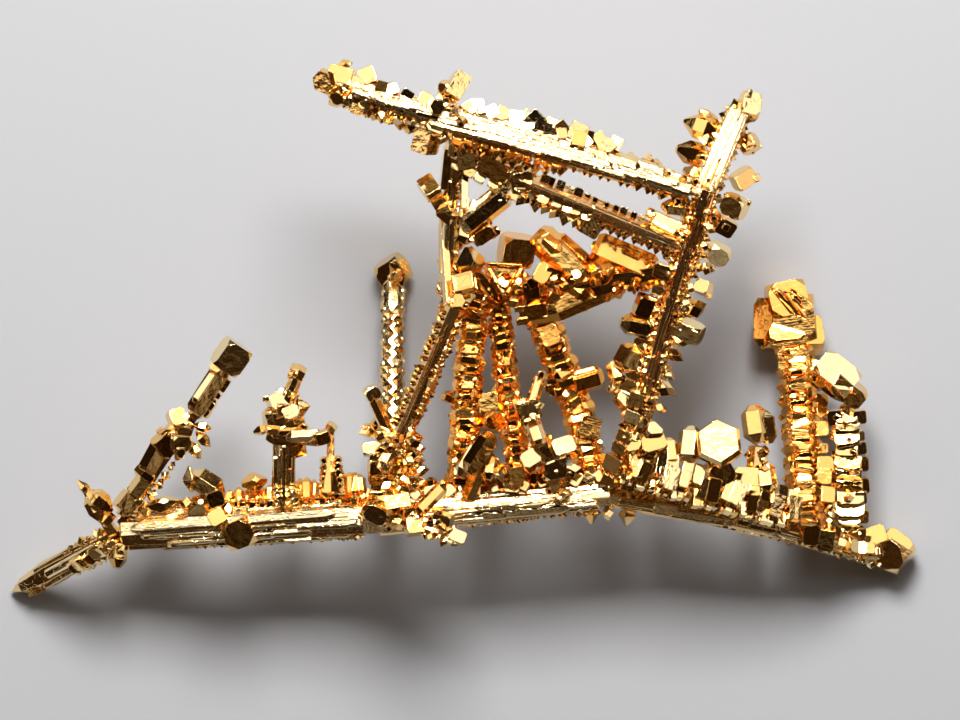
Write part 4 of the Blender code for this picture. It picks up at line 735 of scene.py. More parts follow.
# The fringe's deep orange gold is painted shade.
make("upper_beam_fringe", STIPPLED_GOLD_PAINTED_SHADE, "pale_gold", [],
     crust(upper, 0.04, 0.3, 44, (60, 110), 0.32, 0.09, 0.18, seed=196, cut=TWELVE_SIDED),
     comb(upper, 0.36, 0.64, 14, 78, 0.42, (0.17, 0.13, 0.12), seed=208, vary=0.35, cut=TWELVE_SIDED),
     comb(upper, 0.36, 0.60, 10, 95, 0.55, (0.16, 0.13, 0.12), seed=209, vary=0.35, cut=TWELVE_SIDED),
     comb(upper, 0.36, 0.62, 12, 60, 0.40, (0.10, 0.10, 0.10), seed=212, vary=0.35, cut=2.6),
     comb(upper, 0.62, 0.96, 15, 86, 0.26, (0.17, 0.12, 0.12), seed=210, vary=0.15, cut=TWELVE_SIDED,
          wild=4.0))

# Lower cross beam: dark, with fine grooves along it, a comb of plates below and one larger cube.
lower = [(-0.2, 4.3, 5.0), (1.6, 3.45, 5.1), (5.4, 1.9, 4.98)]
make("lower_beam_laths", GROOVED_GOLD, "deep_gold", ["lower_beam"],
     stem(lower, [0.25, 0.23, 0.21], [0.23, 0.21, 0.19], roll=30.0),
     terraces(lower, 17, [0.28, 0.27, 0.26], 0.14, 15, (0.7, 2.0), (0.03, 0.06), seed=218,
              span=(0.26, 1.0), strip=0.09),
     terraces(lower, 18, [0.24, 0.23, 0.22], 0.13, 8, (0.7, 2.0), (0.03, 0.08), seed=219, span=(0.28, 1.0)),
     terraces(lower, 55, [0.24, 0.23, 0.21], 0.12, 7, (0.5, 1.6), (0.03, 0.07), seed=220, span=(0.28, 1.0)),
     bundle(lower, 10, (0, 80), [0.2, 0.19, 0.17], (0.7, 2.0), (0.02, 0.04), 0.05, seed=221,
            span=(0.26, 1.0)),
     bundle(lower, 10, (-60, 60), [0.24, 0.24], (0.2, 0.6), (0.04, 0.08), 0.06, seed=222, span=(0.0, 0.3)),
     bundle(lower, 18, (100, 260), [0.23, 0.21, 0.19], (0.5, 1.6), (0.04, 0.09), 0.06, seed=223))
make("lower_beam_crystals", CRYSTAL_GOLD, "deep_gold", [],
     cluster((0.15, 4.12, 5.12), (0.27, 0.28, 0.26), (14, 10, 10), 2.7, buds=1, seed=224),
     cluster((0.86, 3.8, 5.14), (0.36, 0.25, 0.28), (10, -16, -28), 2.6, buds=1, seed=225),
     cluster((1.46, 3.52, 5.15), (0.27, 0.25, 0.26), (16, 8, 10), 2.7, buds=1, seed=226),
     comb(lower, 0.05, 0.32, 6, 84, 0.32, (0.2, 0.15, 0.15), seed=227, vary=0.3, cut=2.6),
     comb(lower, 0.05, 0.32, 6, -86, 0.28, (0.14, 0.13, 0.13), seed=228, vary=0.3, cut=TWELVE_SIDED,
          pitch=-20.0),
     comb(lower, 0.34, 0.57, 6, 82, 0.38, (0.24, 0.18, 0.17), seed=229, vary=0.25, cut=TWELVE_SIDED,
          sway=20.0),
     comb(lower, 0.32, 0.60, 7, 60, 0.26, (0.13, 0.12, 0.12), seed=235, vary=0.3, cut=2.6),
     cluster((3.12, 2.46, 5.0), (0.25, 0.27, 0.22), (12, 24, -30), 2.7, buds=2, seed=230),
     comb(lower, 0.64, 0.97, 11, 88, 0.28, (0.15, 0.11, 0.11), seed=231, vary=0.25, cut=TWELVE_SIDED),
     comb(lower, 0.60, 0.97, 14, 60, 0.24, (0.08, 0.08, 0.08), seed=236, vary=0.3, cut=TWELVE_SIDED),
     comb(lower, 0.38, 0.8, 12, -90, 0.24, (0.09, 0.08, 0.08), seed=232, vary=0.35, cut=2.7),
     comb(lower, 0.3, 0.95, 16, 115, 0.26, (0.12, 0.1, 0.1), seed=233, vary=0.35),
     crust(lower, 0.02, 0.98, 110, (120, 250), 0.22, 0.05, 0.14, seed=234, cut=BLUNT))

# Bright top of the right upright: many fine ribs along it, leaf-shaped crystals to its left, and
# it leans back a little towards its free end.
crown = [(5.8, 3.0, 5.3), (6.78, 5.3, 4.75)]
make("right_column_top_laths", BAR_GOLD, "pale_gold", ["right_column_top"],
     stem(crown, [0.25, 0.27], [0.2, 0.22]),
     terraces(crown, 17, 0.25, 0.13, 7, (0.6, 1.25), (0.025, 0.05), seed=240, strip=-0.08),
     terraces(crown, -20, 0.25, 0.13, 7, (0.6, 1.25), (0.025, 0.05), seed=239, strip=0.08),
     bundle(crown, 14, (-85, 85), 0.22, (0.5, 1.25), (0.035, 0.08), 0.07, seed=241),
     bundle(crown, 14, (100, 260), 0.2, (0.4, 1.2), (0.04, 0.09), 0.06, seed=242))
make("right_column_top_crystals", CRYSTAL_GOLD, "pale_gold", [],
     cluster((6.68, 5.24, 4.8), (0.24, 0.26, 0.24), (12, -20, 20), TWELVE_SIDED),
     cluster((6.95, 5.28, 4.76), (0.24, 0.3, 0.24), (-24, 18, -14), 2.5, buds=3, bud=(0.25, 0.45),
             seed=254),
     prism((5.82, 4.78, 4.85), (0.48, 0.27, 0.25), (-20, 10, 158), taper=0.7, tip=0.2),
     prism((6.1, 4.42, 4.9), (0.4, 0.13, 0.16), (20, 0, 158), taper=0.5, tip=0.2),
     prism((5.62, 4.15, 4.8), (0.46, 0.25, 0.22), (24, -14, 160), taper=0.6, tip=0.3),
     prism((5.98, 4.0, 4.9), (0.4, 0.1, 0.12), (-20, 0, 160), taper=0.3, tip=0.3),
     prism((5.72, 3.6, 4.9), (0.4, 0.22, 0.2), (-16, 16, 150), taper=0.6, tip=0.3),
     prism((6.0, 5.0, 4.75), (0.34, 0.12, 0.14), (30, 0, 140), taper=0.5, tip=0.3),
     cluster((6.95, 4.38, 4.75), (0.2, 0.2, 0.2), (-12, -22, 28), 2.6, buds=2, seed=249),
     cluster((6.8, 3.55, 4.95), (0.26, 0.2, 0.2), (14, 26, 30), 2.6, buds=2, seed=248),
     comb(crown, 0.1, 0.95, 14, 80, 0.26, (0.11, 0.09, 0.09), seed=250, vary=0.35, cut=TWELVE_SIDED),
     comb(crown, 0.08, 0.92, 14, 55, 0.23, (0.07, 0.07, 0.07), seed=255, vary=0.35, cut=TWELVE_SIDED),
     comb(crown, 0.05, 0.92, 13, -75, 0.28, (0.14, 0.11, 0.11), seed=251, vary=0.4, cut=TWELVE_SIDED),
     comb(crown, 0.08, 0.92, 12, -50, 0.22, (0.06, 0.07, 0.07), seed=252, vary=0.4, cut=2.6),
     crust(crown, 0.05, 0.98, 60, (110, 250), 0.22, 0.05, 0.15, seed=253, cut=BLUNT))

# Right upright: a dark grooved bar from the base bar to the upper beam, with prisms that stand
# out to its left and stacked plates to its right.
column = [(3.66, -3.85, 3.2), (4.35, -2.0, 3.95), (5.1, 0.6, 4.7), (5.95, 3.3, 5.35)]
make("right_column_laths", GROOVED_GOLD, "deep_gold", ["right_column"],
     stem(column, [0.22, 0.22, 0.25, 0.24], [0.22, 0.22, 0.24, 0.23], roll=30.0),
     bundle(column, 16, (-40, 75), [0.19, 0.2, 0.21, 0.2], (0.8, 2.4), (0.02, 0.04), 0.05, seed=261,
            span=(0.22, 1.0)),
     bundle(column, 8, (-60, 60), [0.22, 0.25], (0.3, 0.7), (0.04, 0.08), 0.06, seed=262, span=(0.0, 0.3)),
     bundle(column, 20, (100, 260), [0.22, 0.24, 0.26, 0.24], (0.5, 2.0), (0.04, 0.09), 0.06, seed=263))
make("right_column_crystals", CRYSTAL_GOLD, "deep_gold", [],
     prism((5.22, 2.84, 5.1), (0.4, 0.19, 0.17), (26, 0, -8), taper=0.45, tip=0.3),
     prism((5.0, 2.48, 5.0), (0.42, 0.16, 0.15), (-10, -2, -24), taper=0.2, tip=0.6),
     cluster((4.6, 2.7, 5.05), (0.18, 0.19, 0.18), (20, 20, 20), TWELVE_SIDED, buds=2, seed=266),
     prism((4.98, 1.9, 5.0), (0.3, 0.14, 0.14), (20, 0, -30), taper=0.3),
     cluster((4.42, 0.5, 4.6), (0.2, 0.24, 0.2), (20, 14, -20), 2.75, buds=2, seed=267),
     prism((4.3, 0.02, 4.45), (0.46, 0.25, 0.24), (20, 12, -14), taper=0.4, tip=0.4),
     prism((4.05, -0.75, 4.2), (0.34, 0.3, 0.3), (26, 10, 62), taper=0.4),
     prism((3.75, -1.12, 4.05), (0.3, 0.18, 0.18), (-20, 25, 100), taper=0.3, tip=0.6),
     cluster((3.72, -1.5, 3.95), (0.22, 0.2, 0.2), (20, -20, 10), TWELVE_SIDED, buds=3, seed=268),
     cluster((4.0, -1.75, 3.95), (0.24, 0.2, 0.2), (-12, 20, 40), 2.6, buds=3, seed=269),
     comb(column, 0.25, 0.85, 15, -80, 0.3, (0.16, 0.13, 0.12), seed=270, vary=0.35, cut=TWELVE_SIDED),
     crust(column, 0.12, 0.98, 130, (-88, -28), 0.28, 0.04, 0.11, seed=264, cut=TWELVE_SIDED, tall=1.0),
     crust(column, 0.12, 0.98, 120, (28, 88), 0.28, 0.04, 0.11, seed=265, cut=TWELVE_SIDED, tall=1.0),
     comb(column, 0.28, 0.8, 12, -104, 0.4, (0.18, 0.14, 0.14), seed=271, vary=0.4, cut=2.6),
     cluster((6.6, 2.88, 5.3), (0.28, 0.24, 0.22), (14, -24, -24), 2.5, buds=2, seed=256),
     cluster((6.35, 2.42, 5.2), (0.24, 0.2, 0.2), (20, 20, -30), 2.7, buds=2, seed=257),
     cluster((6.2, 1.74, 5.05), (0.26, 0.22, 0.22), (24, 10, -34), 2.4, buds=2, seed=258),
     cluster((5.95, 1.38, 4.95), (0.2, 0.18, 0.18), (-14, 0, -20), TWELVE_SIDED, buds=2, seed=259),
     cluster((5.85, 0.92, 4.85), (0.18, 0.16, 0.18), (-14, -20, -20), 2.6, buds=2, seed=272),
     comb(column, 0.6, 0.98, 13, 80, 0.32, (0.17, 0.13, 0.13), seed=273, vary=0.3, lean=-8.0,
          cut=TWELVE_SIDED),
     cluster((5.62, 0.42, 4.65), (0.34, 0.26, 0.26), (-16, 0, 20), TWELVE_SIDED, buds=4, seed=274),
     cluster((5.5, -0.12, 4.5), (0.34, 0.22, 0.24), (20, -16, -20), 2.5, buds=4, seed=279),
     comb(column, 0.3, 0.56, 6, 84, 0.4, (0.28, 0.17, 0.2), seed=275, vary=0.25, cut=TWELVE_SIDED,
          lean=-8.0, sway=25.0, wild=22.0),
     sprouts(column, [0.22, 0.16], [80, 70], [0.42, 0.48], (0.3, 0.24, 0.22), lean=[20, -5], cut=BLUNT,
             seed=276),
     cluster((4.62, -2.85, 3.75), (0.3, 0.2, 0.22), (-15, 14, 18), 2.7, buds=1, seed=277),
     cluster((4.2, -2.8, 3.8), (0.2, 0.24, 0.2), (-14, -16, 10), 2.6, buds=1, seed=278),
     comb(column, 0.02, 0.3, 6, -25, 0.24, (0.18, 0.15, 0.15), seed=279, vary=0.3, cut=2.8, pitch=-80.0),
     comb(column, 0.02, 0.3, 6, 35, 0.26, (0.16, 0.14, 0.14), seed=280, vary=0.3, cut=TWELVE_SIDED),
     crust(column, 0.0, 0.25, 26, (-110, 110), 0.28, 0.08, 0.18, seed=281, cut=TWELVE_SIDED),
     crust(column, 0.02, 0.98, 160, (110, 250), 0.26, 0.06, 0.17, seed=282, cut=BLUNT))

# Wing: a fan of plates and prisms that hangs between the two uprights, in deep orange shade painted into its
# colour.
fan = [(0.3, 1.1, 4.25), (2.4, 0.75, 3.9), (5.05, 1.35, 4.62)]
fan_front = [(1.0, 1.0, 4.4), (2.2, 1.1, 4.4), (3.6, 1.3, 4.45)]
make("wing_plates", STIPPLED_GOLD_PAINTED_SHADE, "deep_gold", ["wing"],
     stem(fan, [0.26, 0.38, 0.18], [0.2, 0.23, 0.18], sides=4, roll=45.0),
     cluster((1.35, 1.82, 4.15), (0.38, 0.36, 0.34), (14, 14, -8), 2.5),
     prism((1.2, 1.5, 4.0), (0.42, 0.2, 0.26), (20, 20, 78), tip=0.4),
     prism((2.42, 1.66, 4.25), (0.82, 0.34, 0.3), (-6.6, -2.7, -44), taper=0.2, tip=0.7),
     prism((2.2, 1.98, 4.42), (0.3, 0.18, 0.16), (-26, 0, -42), taper=0.4, tip=0.4),
     prism((2.72, 1.84, 4.18), (0.5, 0.16, 0.2), (-24, 0, -42)),
     cluster((2.22, 1.26, 4.4), (0.2, 0.17, 0.16), (14, 10, -20), 2.7),
     prism((3.92, 1.6, 4.3), (0.78, 0.32, 0.26), (24, 0, -24), taper=0.15, tip=0.8, sides=4),
     prism((3.5, 1.86, 4.42), (0.34, 0.13, 0.13), (-26, 0, -16), taper=0.2, tip=0.7),
     prism((4.08, 1.7, 4.4), (0.26, 0.14, 0.15), (-24, 10, -24), taper=0.2, tip=0.7),
     prism((2.9, 0.74, 4.08), (1.35, 0.34, 0.18), (-7, 0, 23), taper=0.5),
     prism((3.3, 1.15, 4.28), (0.85, 0.2, 0.16), (24, 8, 12), taper=0.4),
     prism((3.75, 0.98, 4.2), (0.9, 0.15, 0.14), (16, -14, 26), taper=0.3),
     prism((2.7, 0.98, 4.26), (0.5, 0.17, 0.15), (-25, 0, -38), taper=0.4),
     plate((1.08, 1.18, 4.3), 0.42, 0.1, (22, 10, 180), sides=3),
     prism((1.08, 1.46, 4.4), (0.5, 0.06, 0.09), (-5, 0, -3), taper=0.2),
     prism((0.86, 1.08, 4.42), (0.42, 0.06, 0.09), (-18, 0, -60), taper=0.2),
     prism((1.32, 1.08, 4.42), (0.42, 0.06, 0.09), (-18, 0, 60), taper=0.2),
     prism((0.68, 0.95, 4.4), (0.48, 0.16, 0.1), (12, 12, -56), taper=0.6, tip=0.2),
     cluster((1.95, 1.24, 4.45), (0.18, 0.26, 0.2), (-16, 10, -30), 2.6),
     cluster((1.66, 0.92, 4.36), (0.2, 0.22, 0.2), (20, 15, 10), 2.7, buds=1, seed=298),
     cluster((1.3, 0.6, 4.3), (0.24, 0.22, 0.22), (10, 25, 30), TWELVE_SIDED, buds=2, seed=300),
     cluster((1.75, 0.4, 4.1), (0.34, 0.2, 0.22), (20, 0, 10), 2.7, buds=2, seed=301),
     cluster((2.2, 0.7, 4.25), (0.26, 0.22, 0.22), (10, -28, 10), TWELVE_SIDED, buds=2, seed=302),
     crust(fan, 0.05, 0.95, 40, (-110, 110), 0.32, 0.06, 0.16, seed=303, cut=TWELVE_SIDED),
     crust(fan_front, 0.0, 1.0, 36, (-70, 70), 0.1, 0.05, 0.12, seed=305, cut=2.6),
     crust(fan, 0.05, 0.95, 110, (110, 250), 0.3, 0.07, 0.2, seed=304, cut=BLUNT))

# Three ribbed rods behind the strut: each is a stack of flat tiles, a few larger crystals among
# them, orange in each other's light, which is painted into their colour as painted shade.

def ribs(path, count, wide, deep, tilt, seed):
    """A ribbed rod: short laths laid across its front and its two flanks, a pitch apart, each
    tilted along the rod like a roof tile, with rougher crystals on its back."""
    length = np.linalg.norm(np.diff(np.asarray(path, float), axis=0), axis=1).sum()
    half = 0.56 * length / count
    tile = dict(cut=lath(6, 0.4, 0.5), pitch=90.0, turn=tilt, vary=0.22, wild=11.0)
    points = len(path)
    return joined(
        stem(path, [0.8 * wide] * points, [0.8 * deep] * points, sides=8, roll=22.5),
        comb(path, 0.01, 0.99, count, 0, 0.84 * deep, (0.68 * wide, half, 0.08), seed=seed, **tile),
        comb(path, 0.01, 0.99, count, -58, 0.84 * wide, (0.5 * wide, half, 0.08), seed=seed + 1, **tile),
        comb(path, 0.01, 0.99, count, 58, 0.84 * wide, (0.5 * wide, half, 0.08), seed=seed + 2, **tile),
        crust(path, 0.02, 0.98, count, (-100, 100), 0.95 * wide, 0.05, 0.12, seed=seed + 3,
              cut=TWELVE_SIDED),
        crust(path, 0.02, 0.98, 4 * count, (100, 260), 0.85 * wide, 0.05, 0.15, seed=seed + 4,
              cut=TWELVE_SIDED))


make("ribbed_rod_left_stack", STIPPLED_GOLD_PAINTED_SHADE, "deep_gold", ["ribbed_rod_left"],
     ribs([(0.0, -4.15, 2.95), (0.3, 0.2, 3.75), (0.42, 0.85, 4.05)], 25, 0.34, 0.28, -15.0, 311),
     cluster((0.68, -1.85, 3.4), (0.24, 0.22, 0.22), (-7, 0, 10), 2.7, buds=1, seed=316),
     cluster((0.74, -2.3, 3.35), (0.25, 0.22, 0.22), (-10, 20, -10), 2.6, buds=1, seed=317),
     cluster((-0.28, -1.7, 3.4), (0.2, 0.18, 0.18), (-26, -10, 20), TWELVE_SIDED, buds=1, seed=318))
make("ribbed_rod_middle_stack", STIPPLED_GOLD_PAINTED_SHADE, "deep_gold", ["ribbed_rod_middle"],
     ribs([(1.5, -4.05, 2.9), (1.2, -1.8, 3.1), (0.85, 0.85, 3.85)], 24, 0.27, 0.22, -14.0, 321),
     cluster((1.5, -2.0, 3.3), (0.2, 0.22, 0.2), (-7, 10, 20), 2.6, buds=1, seed=327),
     cluster((0.95, -1.75, 3.1), (0.18, 0.16, 0.16), (14, 0, 10), TWELVE_SIDED, buds=1, seed=328))
make("ribbed_rod_right_stack", STIPPLED_GOLD_PAINTED_SHADE, "deep_gold", ["ribbed_rod_right"],
     ribs([(3.3, -3.95, 2.95), (2.8, -1.9, 3.1), (1.85, 0.5, 3.8)], 20, 0.38, 0.3, -14.0, 331),
     cluster((2.2, -0.25, 3.92), (0.22, 0.24, 0.2), (-10, -10, 20), 2.7, hollow=0.06, buds=1, seed=336),
     cluster((2.3, -1.4, 3.35), (0.25, 0.22, 0.22), (14, 14, 10), 2.6, buds=2, seed=337),
     prism((3.05, -1.3, 3.35), (0.42, 0.26, 0.24), (14, 6, 16), taper=0.3),
     prism((3.0, -1.12, 3.48), (0.34, 0.07, 0.12), (-27, 0, 16), taper=0.3),
     cluster((3.1, -2.45, 3.5), (0.24, 0.26, 0.2), (-7, 10, -15), 2.7, buds=2, seed=338))

# Short bright stem in front of the ribbed rods, with a square-ended head and a thin finger.
bright = [(2.42, -4.05, 3.35), (1.65, -1.95, 4.3)]
finger = [(1.65, -2.1, 4.2), (1.98, -1.1, 4.3)]
make("bright_stem_crystals", CRYSTAL_GOLD, "deep_gold", ["bright_stem"],
     stem(bright, [0.18, 0.15], [0.18, 0.15], sides=4, roll=20.0),
     cluster((1.65, -2.02, 4.32), (0.26, 0.24, 0.18), (6, 8, 18), 2.8, hollow=0.1),
     prism((1.8, -2.5, 4.14), (0.42, 0.18, 0.17), (-22, 9, 108), tip=0.6),
     prism((2.02, -2.95, 3.95), (0.42, 0.2, 0.2), (20, -10, 115), taper=0.3, tip=0.6),
     cluster((2.5, -2.95, 3.85), (0.27, 0.22, 0.2), (-28, 5, 20), 2.7, buds=1, seed=342),
     cluster((1.75, -3.2, 3.8), (0.24, 0.2, 0.2), (-16, -10, 30), 2.6, buds=1, seed=343),
     cluster((2.25, -3.4, 3.75), (0.27, 0.24, 0.22), (14, 14, 10), 2.6, buds=2, seed=344),
     cluster((2.7, -3.45, 3.7), (0.24, 0.2, 0.2), (-10, -24, 10), TWELVE_SIDED, buds=2, seed=345),
     crust(bright, 0.0, 1.0, 20, (-120, 120), 0.24, 0.08, 0.16, seed=346, cut=TWELVE_SIDED),
     crust(bright, 0.0, 1.0, 30, (120, 240), 0.22, 0.06, 0.15, seed=347, cut=BLUNT),
     stem(finger, [0.08, 0.08], [0.08, 0.08], sides=4, roll=45.0),
     prism((1.81, -1.62, 4.25), (0.56, 0.13, 0.13), (-14, -1, 74), taper=0.3, tip=0.4),
     cluster((1.7, -1.72, 4.22), (0.1, 0.14, 0.1), (14, 0, -16), 2.7))

# Spray of crystals in front of the base bar, reaching out to the lower right.
spray = [(-2.15, -4.35, 3.4), (-1.2, -4.7, 3.9), (-0.15, -5.05, 4.2)]
make("front_spray_crystals", CRYSTAL_GOLD, "deep_gold", ["front_spray"],
     stem(spray, [0.26, 0.22, 0.1], [0.24, 0.2, 0.1], sides=5),
     cluster((-1.5, -4.28, 4.1), (0.31, 0.18, 0.18), (-27, 0, 10), 2.85),
     cluster((-2.05, -4.5, 3.75), (0.28, 0.2, 0.2), (14, 10, -30), 2.6, buds=2, seed=362),
     prism((-0.7, -4.16, 4.2), (0.45, 0.15, 0.14), (-9, 4, 46), taper=0.2, tip=0.6),
     prism((-1.12, -4.42, 4.05), (0.26, 0.14, 0.14), (20, 0, 30), taper=0.4, tip=0.4),
     cluster((-1.5, -4.72, 4.0), (0.26, 0.22, 0.2), (14, 12, 20), TWELVE_SIDED, buds=1, seed=363),
     cluster((-1.1, -4.82, 4.1), (0.2, 0.2, 0.18), (-16, 10, 10), 2.7, buds=1, seed=364),
     prism((-0.72, -4.9, 4.12), (0.34, 0.15, 0.15), (-28, -5, -20), taper=0.3, tip=0.4),
     cluster((-0.4, -4.66, 4.2), (0.22, 0.16, 0.16), (16, -20, -10), 2.7),
     cluster((-0.08, -5.07, 4.2), (0.2, 0.15, 0.14), (-14, 10, -20), 2.7),
     comb(spray, 0.15, 0.98, 9, 55, 0.16, (0.24, 0.07, 0.07), seed=367, vary=0.4, cut=lath(6, 0.5, 0.3),
          lean=58.0, sway=14.0, wild=20.0),
     comb(spray, 0.1, 0.95, 9, -35, 0.2, (0.22, 0.08, 0.07), seed=370, vary=0.4, cut=lath(6, 0.5, 0.3),
          lean=54.0, sway=14.0, wild=20.0),
     crust(spray, 0.0, 0.98, 24, (-110, 110), 0.22, 0.07, 0.15, seed=368, cut=TWELVE_SIDED),
     crust(spray, 0.0, 0.98, 40, (120, 240), 0.2, 0.05, 0.14, seed=369, cut=BLUNT))

# Crest on the right part of the base bar: rows of bright upright crystals, one large six-sided
# plate that faces the eye, and a leaning crystal on a stalk.
ridge = [(3.9, -3.45, 3.55), (5.6, -3.9, 3.15), (7.9, -4.5, 2.4)]
stalk = [(7.0, -4.1, 2.75), (7.1, -2.9, 2.75)]
make("crest_crystals", CRYSTAL_GOLD, "pale_gold", ["crest"],
     stem(ridge, [0.18, 0.28, 0.2], [0.22, 0.32, 0.24]),
     comb(ridge, 0.02, 0.98, 13, -60, 0.42, (0.26, 0.14, 0.14), seed=381, cut=2.75,
          pitch=-56.0, sway=9.0),
     comb(ridge, 0.04, 0.98, 13, -16, 0.38, (0.25, 0.14, 0.14), seed=382, cut=2.75,
          pitch=-86.0, sway=9.0),
     comb(ridge, 0.0, 0.97, 24, 34, 0.38, (0.18, 0.07, 0.1), seed=386, vary=0.3, cut=2.75, pitch=-150.0,
          sway=12.0),
     comb(ridge, 0.04, 0.96, 12, 32, 0.32, (0.16, 0.15, 0.15), seed=383, vary=0.25, cut=TWELVE_SIDED),
     comb(ridge, 0.05, 0.95, 13, 68, 0.3, (0.14, 0.14, 0.14), seed=384, vary=0.3, cut=2.6, pitch=20.0),
     comb(ridge, 0.08, 0.95, 14, 95, 0.3, (0.13, 0.12, 0.12), seed=385, vary=0.35, cut=TWELVE_SIDED),
     prism((4.36, -2.84, 3.48), (0.44, 0.25, 0.24), (-26, 0, 6), taper=0.3),
     prism((5.05, -3.03, 3.42), (0.34, 0.18, 0.18), (-4, 23, 95), taper=0.3),
     prism((5.53, -2.86, 3.34), (0.46, 0.27, 0.22), (-22, 4, 84), taper=0.35, tip=0.4),
     cluster((6.25, -3.5, 3.2), (0.3, 0.28, 0.28), (16, 10, 30), 2.6, buds=2, seed=390),
     prism((7.32, -3.66, 2.72), (0.42, 0.25, 0.22), (-21, 24, 95), taper=0.3),
     cluster((6.85, -3.75, 2.9), (0.28, 0.3, 0.26), (-16, 10, 0), 2.7, buds=2, seed=392),
     stem(stalk, [0.18, 0.18], [0.18, 0.18], sides=5),
     crust(stalk, 0.0, 1.0, 18, (-120, 120), 0.2, 0.08, 0.16, seed=393, cut=TWELVE_SIDED),
     prism((7.1, -2.36, 2.84), (0.46, 0.28, 0.26), (-15, 2, 98), taper=0.4, tip=0.4),
     prism((7.38, -2.44, 2.8), (0.4, 0.2, 0.22), (14, 20, 96), taper=0.4, tip=0.4),
     crust(ridge, 0.05, 0.95, 90, (110, 250), 0.32, 0.06, 0.18, seed=395, cut=BLUNT))
make("crest_plate", CRYSTAL_GOLD, "pale_gold", [],
     plate((6.22, -2.83, 3.52), 0.6, 0.17, (-27, 3, 5)),
     plate((6.2, -2.9, 3.26), 0.5, 0.15, (10, 5, 5)))

# Knob rod: a thick ribbed rod whose head is the largest crystal, an uneven block with slanting
# ribs on its front, which lies on the surface.
knob = [(8.35, -4.85, 1.95), (8.1, -0.8, 0.9), (7.9, -0.1, 0.75)]
# The rod and its head are a deep orange gold that is painted shade.
make("knob_rod_stack", STIPPLED_GOLD_PAINTED_SHADE, "deep_gold", ["knob_rod"],
     ribs(knob, 27, 0.44, 0.34, 5.0, 401),
     comb(knob, 0.1, 0.8, 10, -92, 0.44, (0.1, 0.1, 0.1), seed=408, vary=0.35, cut=TWELVE_SIDED),
     comb(knob, 0.15, 0.8, 9, 82, 0.46, (0.16, 0.15, 0.15), seed=409, vary=0.35, cut=2.7, pitch=20.0))
make("knob_head", STIPPLED_GOLD_PAINTED_SHADE, "deep_gold", [],
     cluster((7.88, 0.08, 0.68), (0.68, 0.6, 0.5), (-7, -4, 6), 2.5),
     prism((7.32, 0.1, 0.98), (0.58, 0.24, 0.3), (-22, -22, 88), taper=0.3, tip=0.6),
     cluster((7.86, 0.6, 0.76), (0.46, 0.42, 0.4), (-10, 8, 12), 2.5),
     prism((8.15, 0.55, 0.95), (0.42, 0.12, 0.2), (10, 20, -50), taper=0.3),
     cluster((7.84, -0.2, 0.98), (0.42, 0.27, 0.26), (-27, 3, 6), 2.62),
     prism((7.74, 0.6, 1.14), (0.42, 0.05, 0.1), (-20, 0, -50), taper=0.2, tip=0.6),
     prism((7.9, 0.56, 1.16), (0.44, 0.05, 0.1), (20, 0, -50), taper=0.2, tip=0.6),
     prism((8.05, 0.5, 1.14), (0.42, 0.05, 0.1), (-24, 6, -50), taper=0.2, tip=0.6),
     prism((8.22, 0.44, 1.08), (0.4, 0.05, 0.1), (18, 6, -50), taper=0.2, tip=0.6),
     cluster((8.4, -0.24, 0.72), (0.27, 0.38, 0.36), (-25, 14, 5), 2.7, buds=1, seed=410),
     cluster((8.02, -0.86, 0.9), (0.38, 0.28, 0.4), (-7, 1, 4), 2.7, hollow=0.05))

# Outer rod: small blocks stacked askew, under a wedge-shaped head.
outer = [(9.38, -5.25, 1.2), (9.3, -1.9, 1.65)]
make("outer_rod_blocks", CRYSTAL_GOLD, "deep_gold", ["outer_rod"],
     stem(outer, [0.17, 0.19], [0.17, 0.19], sides=4, roll=20.0),
     comb(outer, 0.08, 0.9, 11, 0, 0.03, (0.2, 0.17, 0.27), seed=421, vary=0.25, cut=2.6, wild=9.0,
          lean=38.0, sway=10.0),
     crust(outer, 0.02, 0.95, 22, (-110, 110), 0.26, 0.07, 0.15, seed=422, cut=TWELVE_SIDED),
     crust(outer, 0.02, 0.95, 50, (110, 250), 0.24, 0.06, 0.15, seed=428, cut=TWELVE_SIDED),
     comb(outer, 0.1, 0.9, 8, -85, 0.27, (0.14, 0.14, 0.13), seed=423, vary=0.35, cut=2.7, pitch=-20.0),
     comb(outer, 0.1, 0.9, 8, 85, 0.27, (0.14, 0.14, 0.13), seed=424, vary=0.35, cut=2.7, pitch=20.0),
     cluster((9.02, -1.2, 1.7), (0.52, 0.36, 0.38), (-20, 5, -38), 2.5),
     cluster((9.3, -1.52, 1.76), (0.44, 0.24, 0.3), (20, 14, -38), 2.6),
     prism((9.16, -1.36, 2.0), (0.46, 0.06, 0.1), (-20, 0, -38), taper=0.3))

# Pale matt surface under the specimen, which the shadow falls on.
SURFACE_HALF = 60.0
SURFACE_GREY = (0.275, 0.275, 0.282, 1.0)
floor_mesh = bpy.data.meshes.new("surface")
floor_mesh.from_pydata([(x * SURFACE_HALF * MM, y * SURFACE_HALF * MM, 0.0)
                        for x, y in ((-1, -1), (1, -1), (1, 1), (-1, 1))], [], [(0, 1, 2, 3)])
paper = bpy.data.materials.new("white_surface")
paper.use_nodes = True
for socket, value in (("Base Color", SURFACE_GREY), ("Roughness", 0.9), ("Specular IOR Level", 0.1)):
    paper.node_tree.nodes["Principled BSDF"].inputs[socket].default_value = value
floor_mesh.materials.append(paper)
surface = bpy.data.objects.new("surface", floor_mesh)
bpy.context.scene.collection.objects.link(surface)

